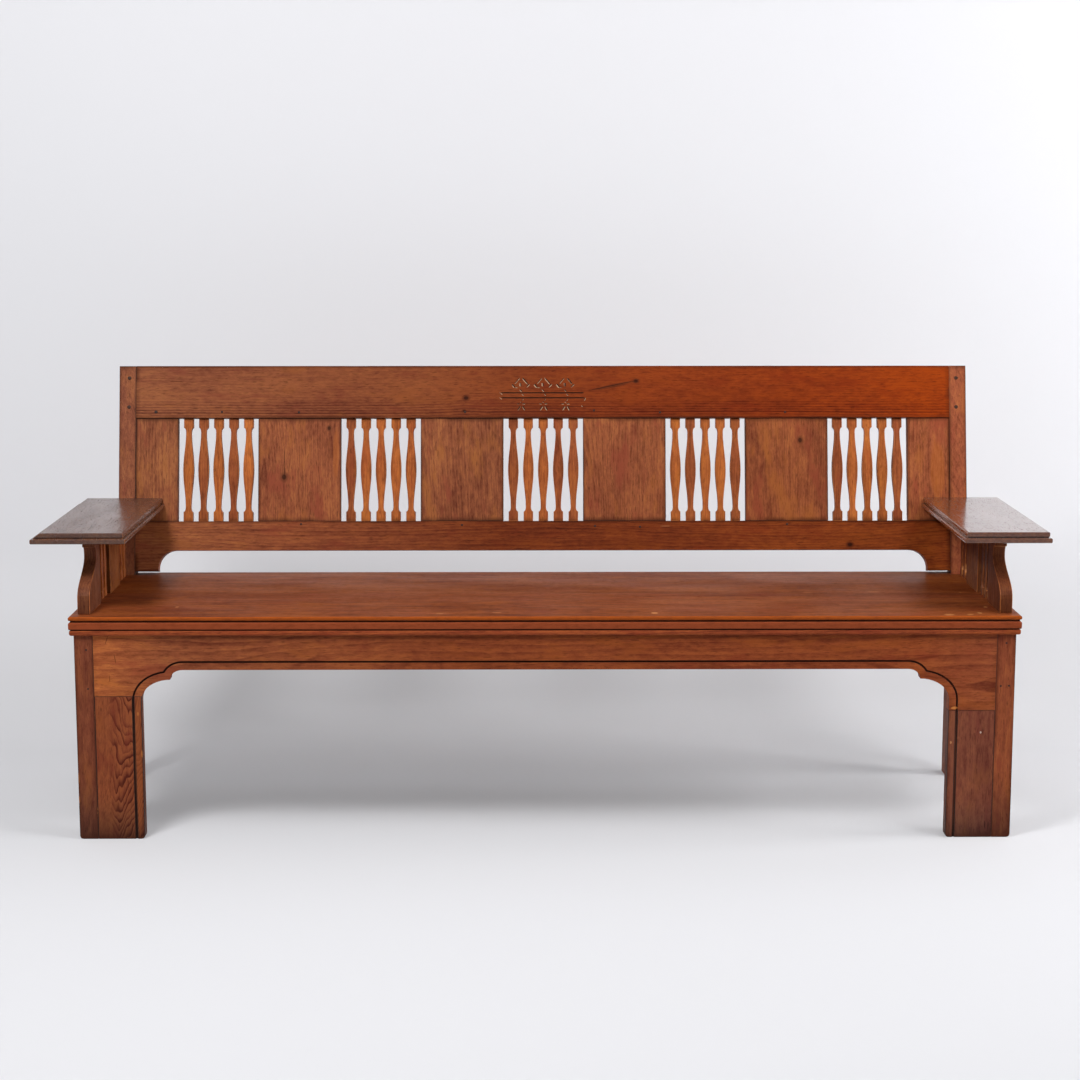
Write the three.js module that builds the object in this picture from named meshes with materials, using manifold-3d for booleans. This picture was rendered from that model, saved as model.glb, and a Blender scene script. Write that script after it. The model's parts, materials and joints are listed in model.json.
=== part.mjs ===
// A long settle of the deacon's bench kind: a wide board seat on an arched front frame, a raked
// back of wide panels and sawn flat balusters, and broad arms over S-shaped supports.
// Millimetres. X runs along the bench, Y from its front to its back, Z up from the floor.
// Left and right are alike, apart from the heights of the apron's ends and the arms' outer edges.

import * as THREE from 'three';
import { mergeVertices } from 'three/addons/utils/BufferGeometryUtils.js';
import Module from 'manifold-3d';

const wasm = await Module();
wasm.setup();

// Clearances
const fit = 0.3; // gap round a tenon and in a glued joint
const overrun = 5; // how far a cutting solid runs past the face that it opens

// Joinery
const tenonThickness = 8;
const tenonShoulder = 18; // from the edge of a rail or board to the edge of its tenon
const stubTenonLength = 9; // tenons of slats, panels and balusters
const railTenonLength = 25; // tenons of rails in posts
const boardTenonLength = 20; // tenon of a leg board in the apron
const tongueDepth = 7; // long tongue of a leg board in its post

// Front frame
const frameSpan = 1900; // over the outer faces of the front posts
const frontPostWidth = 38;
const frontPostDepth = 60;
const legBoardWidth = 94.5;
const frameThickness = 26; // of the apron and the leg boards
const apronHeight = 83.5; // in the middle of the bench
const apronEndLeft = 137.5; // height of the apron where it meets the left leg board
const apronEndRight = 169.5;
const archCornerReach = 59; // lower curve of the bracket, from the leg to the cusp
const archCornerRise = 43;
const cuspCornerReach = 25.5; // upper curve, from the cusp to the straight edge
const cuspCornerRise = 20;
const footRound = 8; // worn corners of the feet
const grooveInset = 14.5; // scratched bead along the arch, from the edge to its groove
const grooveWidth = 4;
const grooveDepth = 3;

// Seat
const seatHeight = 462.5;
const seatThickness = 27;
const seatDepth = 522.7; // from the seat's front edge to its back edge
const seatBehindBack = 34; // how far the seat runs back past the front of the rear posts
const seatOverhang = 8.7; // past the posts, at the front and at both ends
const seatUpperBead = 8.2; // height of the upper bead of the seat's edge
const seatGrooveHeight = 3.5;
const seatGrooveDepth = 3.5;
const seatBeadRound = 3;
const mouldingHeight = 11.7; // strip under the seat's edge
const mouldingDepth = 7.4;

// Rails and bearers under the seat
const underRailHeight = 90;
const underRailThickness = 24;
const sideRailInset = 8; // from the front post's outer face to the side rail's
const rearApronInset = 5; // from the rear post's front face to the rear apron's
const bearerWidth = 45;
const bearerHeight = 40;
const bearerPlace = 310; // of each bearer's middle, from the middle of the bench

// Back
const rakeDegrees = 11.75;
const backSlope = 466; // from the seat's top to the back's top, along the slope
const rearPostWidth = 37;
const rearPostDepth = 45;
const rearPostTopDepth = 39;
const rearPostInset = 6; // from the front post's outer face to the rear post's
const railThickness = 24;
const topRailHeight = 116.2;
const lowerRailHeight = 64.9;
const lowerRailRise = 54.5; // from the seat's top to the straight lower edge of the lower rail
const slitHeight = 8.1; // under the lower rail's bracket ends
const backBracketWidth = 52; // of each bracket end, along the bench
const backBracketRound = 40;
const panelRecess = 2.5;
const panelThickness = 16;
const endPanelWidth = 95;
const gapWidth = 177; // between two panels, where the balusters stand
const gapCount = 5;

// Balusters
const balusterThickness = 14;
const balusterPitch = 33.4;
const blockWidth = 21;
const blockHeight = 21;
const shoulderHeight = 10;
const neckWidth = 11.6;
const bellyWidth = 23.6;
const balusterTenonWidth = 13;
const swellSteps = 12;
const shoulderSteps = 3;

// Arms and what carries them
const armRise = 167.5; // from the seat's top to the arm's top
const armThickness = 22;
const armOverhangLeft = 83; // past the front post's outer face
const armOverhangRight = 68;
const armReachIn = 107.5; // from the front post's outer face in to the arm's inner edge
const armFrontSetback = 5; // from the front of the legs to the arm's front edge
const armGrooveHeight = 2;
const armGrooveDepth = 6.5;
const armBeadRound = 2.6;
const armUpperSetback = 4.5; // of the edge's upper bead behind its lower one
const armOuterSlope = 20; // of the left arm's outer edge, from its lower bead in to its top
const armTenonLength = 14;
const armTenonWidth = 25;
const armTenonHeight = 12;
const supportThickness = 25;
const supportInset = 6; // from the front post's outer face to the support's outer face
const scrollSetback = 18; // from the front of the legs to the scroll's foot
const scrollDepth = 123;
const scrollCove = 85; // how far the cove lies behind the foot
const armOpeningFront = 110; // opening between scroll and slat, where short balusters stand
const armOpeningRear = 116; // opening between slat and rear post
const armBlockHeight = 16;
const armShoulderHeight = 8;
const armSwellSteps = 8;

// Points of the scroll's front edge, from its foot up: shares of the cove's depth and of the
// height between seat and arm. A row of six is a curve with its two control points.
const scrollEdgeShares = [
  [0, 0.2],
  [0, 0.35, 0.28, 0.42, 0.61, 0.52],
  [0.81, 0.58, 1, 0.65, 1, 0.73],
  [1, 0.8, 0.98, 0.84, 0.91, 0.87],
  [0.8, 0.87],
  [0.8, 1],
];

// Places that follow from the sizes
const frameHalf = frameSpan / 2;
const legBoardOuter = frameHalf - frontPostWidth;
const legInner = legBoardOuter - legBoardWidth;
const seatUnder = seatHeight - seatThickness;
const seatBack = seatDepth - seatOverhang;
const backSetback = seatBack - seatBehindBack; // Y of the front of the rear posts
const frameTop = seatUnder - fit;
const apronBottom = seatUnder - apronHeight;
const cuspLevel = apronBottom - cuspCornerRise;
const rearPostOuter = frameHalf - rearPostInset;
const rearPostInner = rearPostOuter - rearPostWidth;
const armUnder = seatHeight + armRise - armThickness;
const supportOuter = frameHalf - supportInset;
const supportInner = supportOuter - supportThickness;
const supportMiddle = (supportOuter + supportInner) / 2;
const scrollBack = scrollSetback + scrollDepth;
const slatSetback = scrollBack + armOpeningFront;
const slatBack = backSetback - armOpeningRear;
const sideRailOuter = frameHalf - sideRailInset;
const sideRailInner = sideRailOuter - underRailThickness;
const sideRailMiddle = (sideRailOuter + sideRailInner) / 2;
const rearApronFront = backSetback + rearApronInset;
const rearApronBack = rearApronFront + underRailThickness;
const rearApronMiddle = (rearApronFront + rearApronBack) / 2;
const frameMiddle = frameThickness / 2;

// Places in the back's own frame: x along the bench, y into the back, z up its slope from the seat
const rake = THREE.MathUtils.degToRad(rakeDegrees);
const topRailBottom = backSlope - topRailHeight;
const lowerRailTop = lowerRailRise + lowerRailHeight;
const backOpeningHeight = topRailBottom - lowerRailTop;
const railHalf = rearPostInner - fit;
const railMiddle = railThickness / 2;
const innerPanelWidth =
  (2 * (rearPostInner - endPanelWidth) - gapCount * gapWidth) / (gapCount - 1);
const backMatrix = new THREE.Matrix4()
  .makeTranslation(0, backSetback, seatHeight)
  .multiply(new THREE.Matrix4().makeRotationX(-rake));

// Y of the rear posts' front face at a height above the floor
function postFront(height) {
  return backSetback + Math.max(0, height - seatHeight) * Math.tan(rake);
}

// Materials, one stain on pine throughout, a little darker where hands and dust have been
const stains = {
  frame: { color: 0x7a3b20, roughness: 0.42 },
  leg: { color: 0x6a3220, roughness: 0.5 },
  seat: { color: 0x74361c, roughness: 0.36 },
  back: { color: 0x7d3c20, roughness: 0.44 },
  panel: { color: 0x74381f, roughness: 0.5 },
  baluster: { color: 0x8a4722, roughness: 0.44 },
  arm: { color: 0x573226, roughness: 0.34 },
  support: { color: 0x6f3820, roughness: 0.42 },
  hidden: { color: 0x6b4a33, roughness: 0.75 },
};

function materialOf(stain) {
  return new THREE.MeshStandardMaterial({ ...stains[stain], metalness: 0, flatShading: true });
}

// Solids

// Closed geometry to a solid, with the vertices that share a place merged
function solidOf(geometry) {
  const bare = geometry.clone();
  bare.deleteAttribute('normal');
  bare.deleteAttribute('uv');
  const merged = mergeVertices(bare);
  const corners = merged.index.array;
  const kept = [];
  for (let i = 0; i < corners.length; i += 3) {
    const [a, b, c] = [corners[i], corners[i + 1], corners[i + 2]];
    if (a !== b && b !== c && c !== a) {
      kept.push(a, b, c);
    }
  }
  return new wasm.Manifold(
    new wasm.Mesh({
      numProp: 3,
      vertProperties: new Float32Array(merged.attributes.position.array),
      triVerts: new Uint32Array(kept),
    }),
  );
}

function geometryOf(solid) {
  const mesh = solid.getMesh();
  const geometry = new THREE.BufferGeometry();
  geometry.setAttribute('position', new THREE.BufferAttribute(mesh.vertProperties, 3));
  geometry.setIndex(new THREE.BufferAttribute(mesh.triVerts, 1));
  geometry.computeVertexNormals();
  return geometry;
}

function join(solids) {
  return solids.reduce((whole, next) => whole.add(next));
}

function cut(solid, tools) {
  return tools.reduce((rest, tool) => rest.subtract(tool), solid);
}

// A box from its two corners, each with x, y and z
function boxGeometry(low, high) {
  const size = high.map((value, i) => value - low[i]);
  const middle = high.map((value, i) => (value + low[i]) / 2);
  return new THREE.BoxGeometry(...size).translate(...middle);
}

function box(low, high) {
  return solidOf(boxGeometry(low, high));
}

// The corners of a tenon's mortise: the tenon's own, moved out by the fit
function grown(corners) {
  return [corners[0].map((value) => value - fit), corners[1].map((value) => value + fit)];
}

// The same two corners on the left (side -1) or the right (side 1)
function onSide(side, [low, high]) {
  if (side > 0) {
    return [low, high];
  }
  return [[-high[0], low[1], low[2]], [-low[0], high[1], high[2]]];
}

// An outline in x and z, made into a board from y = front to y = back
function boardAlongY(shape, front, back, curveSegments = 5) {
  const geometry = new THREE.ExtrudeGeometry(shape, {
    depth: back - front,
    bevelEnabled: false,
    curveSegments,
  });
  return solidOf(geometry.rotateX(Math.PI / 2).translate(0, back, 0));
}

// An outline in y and z, made into a board from x = near to x = far
function boardAlongX(shape, near, far, curveSegments = 5) {
  const turn = new THREE.Matrix4().makeBasis(
    new THREE.Vector3(0, 1, 0),
    new THREE.Vector3(0, 0, 1),
    new THREE.Vector3(1, 0, 0),
  );
  const geometry = new THREE.ExtrudeGeometry(shape, {
    depth: far - near,
    bevelEnabled: false,
    curveSegments,
  });
  return solidOf(geometry.applyMatrix4(turn).translate(near, 0, 0));
}

function shapeOf(points) {
  return new THREE.Shape(points.map(([a, b]) => new THREE.Vector2(a, b)));
}

// A closed body through rings of points, each ring with as many points as the next
function loft(rings) {
  const positions = rings.flat(2);
  const count = rings[0].length;
  const faces = [];
  for (let ring = 0; ring + 1 < rings.length; ring += 1) {
    for (let i = 0; i < count; i += 1) {
      const a = ring * count + i;
      const b = ring * count + ((i + 1) % count);
      faces.push(a, b, b + count, a, b + count, a + count);
    }
  }
  const last = (rings.length - 1) * count;
  for (let i = 1; i + 1 < count; i += 1) {
    faces.push(0, i + 1, i);
    faces.push(last, last + i, last + i + 1);
  }
  const geometry = new THREE.BufferGeometry();
  geometry.setAttribute('position', new THREE.Float32BufferAttribute(positions, 3));
  geometry.setIndex(faces);
  return solidOf(geometry);
}

// A round-cornered bead seen in section: points [inset, height] up its face
function beadProfile(bottom, top, round, setback = 0, steps = 3) {
  const points = [];
  for (let i = 0; i <= steps; i += 1) {
    const turn = (i / steps) * (Math.PI / 2);
    points.push([setback + round * (1 - Math.sin(turn)), bottom + round * (1 - Math.cos(turn))]);
  }
  for (let i = steps; i >= 0; i -= 1) {
    const turn = (i / steps) * (Math.PI / 2);
    points.push([setback + round * (1 - Math.sin(turn)), top - round * (1 - Math.cos(turn))]);
  }
  return points;
}

// Two beads, one above the other, with a groove between
function twoBeadProfile(base, top, { upperBead, grooveHeight, grooveDepth, round, setback = 0 }) {
  const grooveTop = top - upperBead;
  const grooveBottom = grooveTop - grooveHeight;
  return [
    ...beadProfile(base, grooveBottom, round),
    [grooveDepth, grooveBottom],
    [grooveDepth, grooveTop],
    ...beadProfile(grooveTop, top, round, setback),
  ];
}

// A board with the heights of a profile, whose edges may each carry one with the same heights
function profiledBoard(profile, { left, right, front, back }, edges) {
  const inset = (edge, i) => (edge ? edge[i][0] : 0);
  const rings = profile.map(([, z], i) => {
    const x0 = left + inset(edges.left, i);
    const x1 = right - inset(edges.right, i);
    const y0 = front + inset(edges.front, i);
    const y1 = back(z);
    return [[x0, y0, z], [x1, y0, z], [x1, y1, z], [x0, y1, z]];
  });
  return loft(rings);
}

// An arched outline: straight sides from bottom, with elliptic corners up to a flat top
function archShape(half, bottom, top, cornerReach, cornerRise) {
  const shape = new THREE.Shape();
  shape.moveTo(-half, bottom);
  shape.lineTo(half, bottom);
  shape.lineTo(half, top - cornerRise);
  shape.absellipse(half - cornerReach, top - cornerRise, cornerReach, cornerRise, 0, Math.PI / 2);
  shape.lineTo(-(half - cornerReach), top);
  shape.absellipse(
    -(half - cornerReach), top - cornerRise, cornerReach, cornerRise, Math.PI / 2, Math.PI,
  );
  return shape;
}

// The space under the apron and between the legs, moved out by an offset: two arches, the upper
// one narrower, which leave a cusp where they cross
function frontArch(offset, front, back) {
  const lower = archShape(
    legInner + offset, -overrun, cuspLevel + offset,
    archCornerReach + offset, archCornerRise + offset,
  );
  const upper = archShape(
    legInner - archCornerReach + offset, -overrun, apronBottom + offset,
    cuspCornerReach + offset, cuspCornerRise + offset,
  );
  return boardAlongY(lower, front, back).add(boardAlongY(upper, front, back));
}

// The outline of a sawn baluster or of one side of it: half-width against height
function balusterShape(height, block, shoulder, steps) {
  const half = [[blockWidth / 2, 0]];
  const swellBottom = block + shoulder;
  const swellLength = height - 2 * swellBottom;
  const shoulderDepth = (blockWidth - neckWidth) / 2;
  const swellDepth = (bellyWidth - neckWidth) / 2;
  const shoulderPoint = (i) => {
    const turn = (i / shoulderSteps) * (Math.PI / 2);
    return [blockWidth / 2 - shoulderDepth * Math.sin(turn), block + shoulder * (1 - Math.cos(turn))];
  };
  for (let i = 0; i < shoulderSteps; i += 1) {
    half.push(shoulderPoint(i));
  }
  for (let i = 0; i <= steps; i += 1) {
    const share = i / steps;
    const swell = (1 - Math.cos(2 * Math.PI * share)) / 2;
    half.push([neckWidth / 2 + swellDepth * swell, swellBottom + swellLength * share]);
  }
  for (let i = shoulderSteps - 1; i >= 0; i -= 1) {
    const [x, z] = shoulderPoint(i);
    half.push([x, height - z]);
  }
  half.push([blockWidth / 2, height]);
  return [...half, ...half.map(([x, z]) => [-x, z]).reverse()];
}

// Tenons and mortises, each as two corners, shared by the piece and by what holds it

// In the back's frame: stub tenons of a panel or baluster in both rails
function stubTenons(middle, width) {
  const front = railMiddle - tenonThickness / 2;
  const back = railMiddle + tenonThickness / 2;
  const [x0, x1] = [middle - width / 2, middle + width / 2];
  return [
    [[x0, front, lowerRailTop - stubTenonLength], [x1, back, lowerRailTop + stubTenonLength]],
    [[x0, front, topRailBottom - stubTenonLength], [x1, back, topRailBottom + stubTenonLength]],
  ];
}

// In the back's frame: tenon of a rail in a post
function railTenon(side, bottom, top) {
  return onSide(side, [
    [railHalf - overrun, railMiddle - tenonThickness / 2, bottom + tenonShoulder],
    [rearPostInner + railTenonLength, railMiddle + tenonThickness / 2, top - tenonShoulder],
  ]);
}

// Tenon of the apron in a front post
function apronTenon(side) {
  const endHeight = side < 0 ? apronEndLeft : apronEndRight;
  return onSide(side, [
    [
      legBoardOuter - overrun, frameMiddle - tenonThickness / 2,
      seatUnder - endHeight + tenonShoulder,
    ],
    [legBoardOuter + railTenonLength, frameMiddle + tenonThickness / 2, frameTop - tenonShoulder],
  ]);
}

function apronEndLevel(side) {
  return seatUnder - (side < 0 ? apronEndLeft : apronEndRight);
}

// Tenon of a leg board in the apron above it
function legBoardTenon(side) {
  const level = apronEndLevel(side);
  const middle = (legBoardOuter + legInner + grooveInset + grooveWidth) / 2;
  const reach = (legBoardOuter - middle) / 2;
  return onSide(side, [
    [middle - reach, frameMiddle - tenonThickness / 2, level - boardTenonLength],
    [middle + reach, frameMiddle + tenonThickness / 2, level + boardTenonLength],
  ]);
}

// Long tongue of a leg board in its post
function legBoardTongue(side) {
  return onSide(side, [
    [legBoardOuter - overrun, frameMiddle - tenonThickness / 2, tenonShoulder],
    [
      legBoardOuter + tongueDepth, frameMiddle + tenonThickness / 2,
      apronEndLevel(side) - tenonShoulder,
    ],
  ]);
}

// Side rail tenons, in the upper half of the rail so that they pass over the rear apron's
function sideRailTenons(side) {
  const bottom = seatUnder - underRailHeight / 2;
  const top = frameTop - tenonShoulder;
  const x0 = sideRailMiddle - tenonThickness / 2;
  const x1 = sideRailMiddle + tenonThickness / 2;
  return [
    onSide(side, [
      [x0, frontPostDepth - railTenonLength, bottom],
      [x1, frontPostDepth + overrun, top],
    ]),
    onSide(side, [
      [x0, backSetback - overrun, bottom],
      [x1, backSetback + railTenonLength, top],
    ]),
  ];
}

// Rear apron tenons, in the lower half
function rearApronTenon(side) {
  return onSide(side, [
    [
      rearPostInner - overrun, rearApronMiddle - tenonThickness / 2,
      seatUnder - underRailHeight + tenonShoulder / 2,
    ],
    [
      rearPostInner + railTenonLength, rearApronMiddle + tenonThickness / 2,
      seatUnder - underRailHeight / 2 - tenonShoulder / 2,
    ],
  ]);
}

// Stub tenons of a seat bearer in the two aprons
function bearerTenons(side) {
  const x0 = bearerPlace - bearerWidth / 2 + tenonThickness;
  const x1 = bearerPlace + bearerWidth / 2 - tenonThickness;
  const bottom = seatUnder - bearerHeight + tenonThickness;
  const top = frameTop - tenonThickness;
  return [
    onSide(side, [
      [x0, frameThickness - stubTenonLength, bottom],
      [x1, frameThickness + stubTenonLength, top],
    ]),
    onSide(side, [
      [x0, rearApronFront - stubTenonLength, bottom],
      [x1, rearApronFront + stubTenonLength, top],
    ]),
  ];
}

// Under an arm: tenon into the seat and tenon into the arm, over a stretch of the depth
function supportTenons(side, front, back, level = [seatHeight, armUnder]) {
  const x0 = supportMiddle - tenonThickness / 2;
  const x1 = supportMiddle + tenonThickness / 2;
  return level.map((z) => onSide(side, [
    [x0, front, z - stubTenonLength],
    [x1, back, z + stubTenonLength],
  ]));
}

const scrollTopFront = scrollSetback + scrollCove;
const supportEdge = tenonShoulder / 2; // shoulder of the tenons under an arm

function scrollTenons(side) {
  const [lower] = supportTenons(side, scrollSetback + tenonShoulder, scrollBack - supportEdge);
  const [, upper] = supportTenons(side, scrollTopFront, scrollBack - supportEdge);
  return [lower, upper];
}

function slatTenons(side) {
  return supportTenons(side, slatSetback + supportEdge, slatBack - supportEdge);
}

// The two openings under an arm, each as its front and back at seat level
const armOpenings = {
  front: [scrollBack, slatSetback],
  rear: [slatBack, backSetback],
};

function balusterTongues(side, opening) {
  const [front, back] = armOpenings[opening];
  return supportTenons(side, front + 2 * fit, back - 2 * fit);
}

function armTenon(side) {
  const middle = (rearPostInner + rearPostOuter) / 2;
  const level = armUnder + armThickness / 2;
  return onSide(side, [
    [middle - armTenonWidth / 2, backSetback, level - armTenonHeight / 2],
    [
      middle + armTenonWidth / 2, postFront(level) + armTenonLength,
      level + armTenonHeight / 2,
    ],
  ]);
}

// Front frame

// A foot's outer corner is worn round at the floor
function footCorner(side) {
  const edge = side * frameHalf;
  const shape = new THREE.Shape();
  shape.moveTo(edge + side * overrun, -overrun);
  shape.lineTo(edge + side * overrun, footRound);
  shape.lineTo(edge, footRound);
  shape.quadraticCurveTo(edge, 0, edge - side * footRound, 0);
  shape.lineTo(edge - side * footRound, -overrun);
  return boardAlongY(shape, -overrun, frontPostDepth + overrun, 4);
}

function frontPost(side) {
  const post = box(...onSide(side, [
    [legBoardOuter, 0, 0],
    [frameHalf, frontPostDepth, frameTop],
  ]));
  return cut(post, [
    box(...grown(apronTenon(side))),
    box(...grown(legBoardTongue(side))),
    box(...grown(sideRailTenons(side)[0])),
    footCorner(side),
  ]);
}

// The arch's edge is worn round at the floor too
function legBoardFoot(side) {
  const edge = side * legInner;
  const shape = new THREE.Shape();
  shape.moveTo(edge - side * overrun, -overrun);
  shape.lineTo(edge - side * overrun, footRound);
  shape.lineTo(edge, footRound);
  shape.quadraticCurveTo(edge, 0, edge + side * footRound, 0);
  shape.lineTo(edge + side * footRound, -overrun);
  return boardAlongY(shape, -overrun, frameThickness + overrun, 4);
}

// The scratched groove that runs parallel to the arch, over leg boards and apron alike
function archGroove() {
  return frontArch(grooveInset + grooveWidth, -overrun, grooveDepth)
    .subtract(frontArch(grooveInset, -overrun - overrun, grooveDepth + overrun));
}

const groove = archGroove();
const arch = frontArch(0, -overrun, frameThickness + overrun);

function legBoard(side) {
  const top = apronEndLevel(side) - fit;
  const board = box(...onSide(side, [
    [legInner - overrun, 0, 0],
    [legBoardOuter - fit, frameThickness, top],
  ]));
  const shaped = cut(board, [arch, groove, legBoardFoot(side)]);
  return join([shaped, box(...legBoardTenon(side)), box(...legBoardTongue(side))]);
}

function frontApron() {
  const half = legBoardOuter - fit;
  const blank = shapeOf([
    [-half, apronEndLevel(-1)],
    [0, apronEndLevel(-1)],
    [0, apronEndLevel(1)],
    [half, apronEndLevel(1)],
    [half, frameTop],
    [-half, frameTop],
  ]);
  const shaped = cut(boardAlongY(blank, 0, frameThickness), [
    arch,
    groove,
    ...[-1, 1].map((side) => box(...grown(legBoardTenon(side)))),
    ...[-1, 1].map((side) => box(...grown(bearerTenons(side)[0]))),
  ]);
  return join([shaped, ...[-1, 1].map((side) => box(...apronTenon(side)))]);
}

// Under the seat

function sideRail(side) {
  const rail = box(...onSide(side, [
    [sideRailInner, frontPostDepth + fit, seatUnder - underRailHeight],
    [sideRailOuter, backSetback - fit, frameTop],
  ]));
  return join([rail, ...sideRailTenons(side).map((tenon) => box(...tenon))]);
}

function rearApron() {
  const half = rearPostInner - fit;
  const rail = box(
    [-half, rearApronFront, seatUnder - underRailHeight],
    [half, rearApronBack, frameTop],
  );
  const cutRail = cut(rail, [-1, 1].map((side) => box(...grown(bearerTenons(side)[1]))));
  return join([cutRail, ...[-1, 1].map((side) => box(...rearApronTenon(side)))]);
}

function seatBearer(side) {
  const bearer = box(...onSide(side, [
    [bearerPlace - bearerWidth / 2, frameThickness + fit, seatUnder - bearerHeight],
    [bearerPlace + bearerWidth / 2, rearApronFront - fit, frameTop],
  ]));
  return join([bearer, ...bearerTenons(side).map((tenon) => box(...tenon))]);
}

// Seat

const seatHalf = frameHalf + seatOverhang;
const seatSplit = (seatBack - seatOverhang) / 2; // Y of the joint between its two equal boards
const seatProfile = twoBeadProfile(seatUnder, seatHeight, {
  upperBead: seatUpperBead,
  grooveHeight: seatGrooveHeight,
  grooveDepth: seatGrooveDepth,
  round: seatBeadRound,
});

// Mortises in the seat for everything that stands on it
function seatMortises() {
  return [-1, 1].flatMap((side) => [
    scrollTenons(side)[0],
    slatTenons(side)[0],
    balusterTongues(side, 'front')[0],
    balusterTongues(side, 'rear')[0],
  ]).map((tenon) => box(...grown(tenon)));
}

function seatFrontBoard() {
  const board = profiledBoard(
    seatProfile,
    { left: -seatHalf, right: seatHalf, front: -seatOverhang, back: () => seatSplit - fit / 2 },
    { left: seatProfile, right: seatProfile, front: seatProfile },
  );
  return cut(board, seatMortises());
}

// The back board's corners are cut away round the rear posts
function seatBackBoard() {
  const board = profiledBoard(
    seatProfile,
    {
      left: -seatHalf,
      right: seatHalf,
      front: seatSplit + fit / 2,
      back: () => seatBack,
    },
    { left: seatProfile, right: seatProfile },
  );
  const corners = [-1, 1].map((side) => box(...onSide(side, [
    [rearPostInner - fit, backSetback - fit, seatUnder - overrun],
    [seatHalf + overrun, seatBack + overrun, seatHeight + overrun],
  ])));
  return cut(board, [...corners, ...seatMortises()]);
}

// The round-nosed strip under the seat's edge, as points [out from the frame, height]
function mouldingSection() {
  const top = seatUnder - fit;
  const bottom = top - mouldingHeight;
  const round = mouldingDepth / 2;
  const nose = beadProfile(bottom, top, round).map(([inset, z]) => [mouldingDepth - inset, z]);
  return [[0, bottom], ...nose, [0, top]];
}

function mouldingFront() {
  const section = mouldingSection();
  const ring = (side) => section.map(([out, z]) => [
    side * (frameHalf + fit + out), -fit - out, z,
  ]);
  return loft([ring(1), ring(-1)]);
}

function mouldingSide(side) {
  const section = mouldingSection();
  const corner = section.map(([out, z]) => [side * (frameHalf + fit + out), -out, z]);
  const end = section.map(([out, z]) => [
    side * (frameHalf + fit + out), backSetback - fit, z,
  ]);
  return loft(side < 0 ? [corner, end] : [end, corner]);
}

// Back

// One piece from the floor to the top, bent back above the seat
function rearPost(side) {
  const along = new THREE.Vector2(Math.sin(rake), Math.cos(rake));
  const across = new THREE.Vector2(Math.cos(rake), -Math.sin(rake));
  const bend = new THREE.Vector2(backSetback, seatHeight);
  const top = bend.clone().addScaledVector(along, backSlope);
  const topBack = top.clone().addScaledVector(across, rearPostTopDepth);
  const shape = shapeOf([
    [backSetback, 0],
    [backSetback + rearPostDepth, 0],
    [backSetback + rearPostDepth, seatHeight],
    [topBack.x, topBack.y],
    [top.x, top.y],
    [bend.x, bend.y],
  ]);
  const [near, far] = side < 0 ? [-rearPostOuter, -rearPostInner] : [rearPostInner, rearPostOuter];
  const inBack = [
    railTenon(side, lowerRailRise, lowerRailTop),
    railTenon(side, topRailBottom, backSlope),
  ].map((tenon) => solidOf(boxGeometry(...grown(tenon)).applyMatrix4(backMatrix)));
  return cut(boardAlongX(shape, near, far), [
    ...inBack,
    box(...grown(sideRailTenons(side)[1])),
    box(...grown(rearApronTenon(side))),
    box(...grown(armTenon(side))),
  ]);
}

// Middles of the panels and of the openings between them, from left to right
function panelPlaces() {
  const pitch = innerPanelWidth + gapWidth;
  const places = [];
  for (let i = 0; i <= gapCount; i += 1) {
    const isEnd = i === 0 || i === gapCount;
    const width = isEnd ? endPanelWidth : innerPanelWidth;
    const inward = isEnd ? (innerPanelWidth - endPanelWidth) / 2 : 0;
    const middle = (i - gapCount / 2) * pitch;
    places.push({ middle: middle - Math.sign(middle) * inward, width });
  }
  return places;
}

// Middles of the balusters in an opening: as many as it takes, at their own pitch
function balusterPlaces(middle, width) {
  const count = Math.floor(width / balusterPitch);
  const places = [];
  for (let i = 0; i < count; i += 1) {
    places.push(middle + (i - (count - 1) / 2) * balusterPitch);
  }
  return places;
}

function gapMiddle(gap) {
  return (gap - (gapCount - 1) / 2) * (innerPanelWidth + gapWidth);
}

const panels = panelPlaces();
const gaps = Array.from({ length: gapCount }, (_, gap) => (
  balusterPlaces(gapMiddle(gap), gapWidth)
));

// Stub tenons of everything between the rails
function betweenRails() {
  return [
    ...panels.map(({ middle, width }) => stubTenons(middle, width - 2 * supportEdge)),
    ...gaps.flat().map((middle) => stubTenons(middle, balusterTenonWidth)),
  ];
}

function railSolid(shape, bottom, top, mortises) {
  const rail = cut(boardAlongY(shape, 0, railThickness), mortises.map((m) => box(...grown(m))));
  return join([rail, ...[-1, 1].map((side) => box(...railTenon(side, bottom, top)))]);
}

function topRail() {
  const shape = shapeOf([
    [-railHalf, topRailBottom],
    [railHalf, topRailBottom],
    [railHalf, backSlope],
    [-railHalf, backSlope],
  ]);
  return railSolid(shape, topRailBottom, backSlope, betweenRails().map(([, upper]) => upper));
}

// The lower rail's ends drop as brackets to just above the seat
function lowerRail() {
  const shape = shapeOf([
    [-railHalf, slitHeight],
    [railHalf, slitHeight],
    [railHalf, lowerRailTop],
    [-railHalf, lowerRailTop],
  ]);
  const rail = railSolid(
    shape, lowerRailRise, lowerRailTop, betweenRails().map(([lower]) => lower),
  );
  const space = archShape(
    rearPostInner - backBracketWidth, slitHeight - overrun, lowerRailRise,
    backBracketRound, backBracketRound,
  );
  return rail.subtract(boardAlongY(space, -overrun, railThickness + overrun));
}

function backPanel({ middle, width }) {
  const panel = box(
    [middle - width / 2 + fit, panelRecess, lowerRailTop + fit],
    [middle + width / 2 - fit, panelRecess + panelThickness, topRailBottom - fit],
  );
  return join([panel, ...stubTenons(middle, width - 2 * supportEdge).map((t) => box(...t))]);
}

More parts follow.
